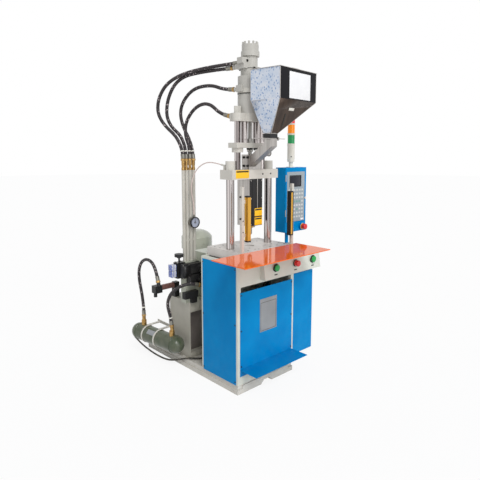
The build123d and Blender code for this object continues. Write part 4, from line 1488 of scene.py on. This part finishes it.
@dataclass
class HopperFeed(Assembly):
    """Protective film, painted dark reflection on the front, bare sheet, folded seams and collar of the
    hopper.
    """

    corner: tuple[float, float] = (-85.6, -93.0)
    turn: float = 6.3
    width: float = 380.0
    depth: float = 215.0
    foot: float = 1774.0
    rim: float = 1950.0
    outlet: Point = (-28.0, -200.5, 1575.0)
    outlet_half: float = 27.5
    skin_low: float = 1580.0
    collar_top: float = 1576.5

    BODY: ClassVar[Body] = Body.HEAD

    def along(self, right: float, back: float) -> Vector:
        """Turn a direction in the hopper's own axes into the machine's.

        Args:
            right: Its part along the hopper's front.
            back: Its part towards the hopper's rear.

        Returns:
            The direction in the machine's axes.
        """
        angle = math.radians(self.turn)
        return Vector((right * math.cos(angle) - back * math.sin(angle),
                       right * math.sin(angle) + back * math.cos(angle), 0))

    def spot(self, right: float, back: float, height: float) -> Vector:
        """Give a point of the hopper from its rear left corner, in millimetres."""
        return Vector((*self.corner, height)) + self.along(right, back)

    def outlet_spot(self, right: float, back: float) -> Vector:
        """Give a corner of the outlet, with right and back of 1 or -1."""
        return Vector(self.outlet) + self.along(right * self.outlet_half, back * self.outlet_half)

    def add_skins(self) -> None:
        """Lay the film on the left side, and a painted dark reflection on the front and its slope."""
        left, front, low, foot = self.along(-1, 0), self.along(0, -1), self.skin_low, self.foot
        for name, test, thickness, finish in (
                ("hopper_film", lambda c, n: n.dot(left) > 0.85 and c.z > low, 0.7, "dotted_film"),
                # The front's near-black skin is a painted dark reflection.
                ("hopper_front_mirror", lambda c, n: n.dot(front) > 0.85 and c.z > foot, 0.6, "black_mirror"),
                # The slope's dark brown skin is a painted reflection.
                ("hopper_front_slope", lambda c, n: n.dot(front) > 0.8 and low < c.z < foot, 0.6,
                 "dark_stainless")):
            self.fit(skin_of(name, self.shop.nodes["hopper"], test, thickness), finish)

    def add_seams(self) -> None:
        """Add the folded seams along the front left and front right edges."""
        seams = []
        for right, side in ((0.0, -1), (self.width, 1)):
            top, knee = (self.spot(right, -self.depth, z) for z in (self.rim - 2, self.foot))
            seams += [rod("seam", start, end, 2.0, 0.3, 12)
                      for start, end in ((knee, top), (self.outlet_spot(side, -1), knee))]
        self.fit(join("hopper_seams", seams), "brushed_stainless")

    def on_slope(self, across: float, down: float) -> Vector:
        """Find a point on the front slope.

        Args:
            across: Share of the slope's width, from the left.
            down: Share of the slope's height, from the top.

        Returns:
            The point in millimetres.
        """
        start, end = (self.spot(right, -self.depth, self.foot).lerp(self.outlet_spot(side, -1), down)
                      for right, side in ((0, -1), (self.width, 1)))
        return start.lerp(end, across)

    def add_front_fittings(self) -> None:
        """Add the bare white sheet, the small pale tab and the sight slot."""
        across = self.along(1, 0)
        sheet = plate("hopper_front_sheet", self.spot(202, -self.depth - 0.6, 1857), across, UP,
                      (222, 152, 0.5), 0.1)
        self.fit(sheet, "paper_sheet")
        lean = self.on_slope(0.5, 0.3) - self.on_slope(0.5, 0.6)
        proud = across.cross(lean).normalized() * 0.5
        tab = plate("hopper_slope_tab", self.on_slope(0.47, 0.27) + proud, across, lean, (52, 16, 2.2), 0.5)
        self.fit(tab, "white_plastic")
        start, end = self.on_slope(0.5, 0.45), self.on_slope(0.5, 0.8)
        slot = plate("hopper_sight_slot", (start + end) / 2 + proud, across, start - end,
                     (11, (start - end).length, 1.0), 0.3)
        self.fit(slot, "label_ink")

    def add_collar(self) -> None:
        """Wrap the black gasket round the neck between the funnel and the gate."""
        middle = Vector(self.outlet)
        collar = skin_of("hopper_collar", self.shop.nodes["hopper"],
                         lambda c, n: c.z < self.collar_top and abs(n.z) < 0.3 and n.dot(c - middle) > 0, 1.2)
        self.fit(collar, "black_paint")

    def build(self) -> None:
        """Dress the hopper."""
        self.add_skins()
        self.add_seams()
        self.add_front_fittings()
        self.add_collar()


@dataclass
class PowerPack(Assembly):
    """Coils, gauge dial, painted shade in the tank's recess, motor seam and bolts of the hydraulic power
    pack.
    """

    gauge: Point = (-196.0, 319.3, 1005.0)
    motor_centre: tuple[float, float] = (-73.0, 463.0)

    def add_coils(self) -> None:
        """Wrap the two valve coils in their moulded bodies, with pale ribs."""
        coils, ribs = [], []
        for low, high in ((655, 692), (698, 735)):
            coils.append(block("coil", (-373.5, 342.5, low - 1.5), (-336, 383.5, high + 1.5), 2.4))
            ribs += [block("rib", (x, 341.6, low - 2.3), (x + 5, 384.4, high + 2.3), 1.2)
                     for x in (-369, -358, -347)]
        self.fit(join("valve_coils", coils), "coil_blue")
        self.fit(join("valve_coil_ribs", ribs), "white_plastic")

    def add_valve_bridge(self) -> None:
        """Fill the corner between the side valve and the front valves, and sleeve the suction pipe."""
        bridge = block("valve_bridge", (-318, 300, 644), (-262.2, 339.5, 738), 2.5)
        self.fit(push_front(bridge, 9, -5), "black_paint")
        places = [(x, 300, z) for x in (-313, -267) for z in (649, 733)]
        self.fit(bolts("valve_bridge_screws", places, FRONT, 3.2, 3), "brushed_stainless")
        pipe = sleeve("suction_pipe_cover", (-344.5, 524, 545), RIGHT, 17.4, 19.2, 106, 0.6, 48)
        self.fit(pipe, "suction_brown")

    def add_gauge(self) -> None:
        """Fit the dial with its ticks, and the dark bezel."""
        x, y, z = self.gauge
        disc = turned("gauge_dial_disc", [(31.5, 0), (31.5, 0.5)], (x, y + 0.5, z), FRONT, 64)
        self.fit(disc, "gauge_dial")
        self.fit(sleeve("gauge_bezel", (x, y + 8, z), FRONT, 32.6, 37.8, 12.5, 1.6, 64), "black_plastic")
        tick = block("gauge_ticks", (x - 0.7, y - 0.35, z + 24.5), (x + 0.7, y + 0.1, z + 30), 0.1)
        there = Matrix.Translation(mm(x, y, z))
        moves = [there @ Matrix.Rotation(math.radians(a), 4, "Y") @ there.inverted()
                 for a in range(-135, 136, 15) if a]
        self.fit(repeat(tick, moves), "label_ink")

    def add_tank_parts(self) -> None:
        """Lay painted shade in the tank's recess, and fit the filler cap and the lid's screws."""
        # The recess's dark grey skin is painted shade.
        recess = skin_of("tank_recess", self.shop.nodes["tank"], lambda c, n: (
            n.y < -0.9 and -236 < c.x < 225 and c.y > 337 and 100 < c.z < 388), 0.5)
        self.fit(recess, "recess_grey")
        cap = turned("tank_filler_cap", [(24, -0.3), (24, 6), (30, 8), (30, 26), (27, 29), (8, 30)],
                     (150, 460, 460), sides=40)
        self.fit(cap, "black_plastic")
        places = [(x, y, 460) for x in (-222, -60, 100, 212) for y in (349, 556)]
        self.fit(bolts("tank_lid_screws", places, UP, 6, 5, 6), "oxide_black")

    def add_motor_parts(self) -> None:
        """Add the motor's seam ring and flange bolts."""
        x, y = self.motor_centre
        self.fit(sleeve("motor_seam", (x, y, 838), UP, 97, 109.2, 5, 0.8, 96), "pump_paint")
        ring = circle((x, y, 599.5), 62, range(45, 360, 90))
        self.fit(bolts("pump_flange_bolts", ring, DOWN, 7, 7, 6), "oxide_black")

    def build(self) -> None:
        """Dress the power pack."""
        self.add_coils()
        self.add_valve_bridge()
        self.add_gauge()
        self.add_tank_parts()
        self.add_motor_parts()
        places = [(x, y, 745) for x in (-322, -278) for y in (348, 378)]
        self.fit(bolts("valve_screws", places, UP, 5, 5), "brushed_stainless")


@dataclass
class OilCooler(Assembly):
    """Cover flanges and bare plate of the oil cooler."""

    start: Point = (-364.5, 790.0, 170.0)
    end: Point = (-319.5, 377.0, 170.0)
    radius: float = 59.0

    def build(self) -> None:
        """Make the flanges and the plate."""
        start, run = Vector(self.start), Vector(self.end) - Vector(self.start)
        axis = run.normalized()
        rings = [sleeve("flange", start + axis * at, axis, self.radius - 1, self.radius + 2.6, 9, 1.2, 72)
                 for at in (18, run.length - 27)]
        self.fit(join("cooler_flanges", rings), "cooler_paint")
        out = Vector((-1, 0, 1))
        out = (out - axis * axis.dot(out)).normalized()
        middle = start + axis * run.length * 0.45 + out * (self.radius - 1.2)
        self.fit(plate("cooler_plate", middle, axis, out.cross(axis), (74, 34, 2.2), 0.4), "plate_grey")


@dataclass
class ElectricalBox(Assembly):
    """Side door, lock and vents of the electrical cabinet on the right."""

    side: float = 442.5

    def build(self) -> None:
        """Make the side door, its lock and the vents."""
        skin = self.side + 2.2
        self.fit(block("electrical_door", (self.side - 0.2, -156, 122), (skin, 118, 653), 0.9), "blue_paint")
        vent = block("electrical_vents", (self.side + 2.0, -60, 540), (self.side + 7, 40, 546), 1.6)
        self.fit(repeat(vent, [Matrix.Translation(mm(0, 0, 16 * i)) for i in range(1, 6)]), "blue_paint")
        lock = turned("electrical_lock", [(9, -0.2), (9, 3), (7.5, 4), (7, 3), (2, 2.8)], (skin, 98, 390),
                      RIGHT, 32)
        self.fit(lock, "hard_chrome")


def main() -> None:
    """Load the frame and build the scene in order."""
    logging.basicConfig(level=logging.INFO, format="%(name)s: %(message)s")
    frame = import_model()
    shop = Workshop(frame["nodes"], FinishShelf())
    Studio().build()
    for kind in (Cords, FramePieces, Cabinet, ControlBox, SignalTower, LightCurtains, ClampHead,
                 InjectionStack, HopperFeed, PowerPack, OilCooler, ElectricalBox):
        kind(shop).build()


if __name__ == "__main__":
    main()
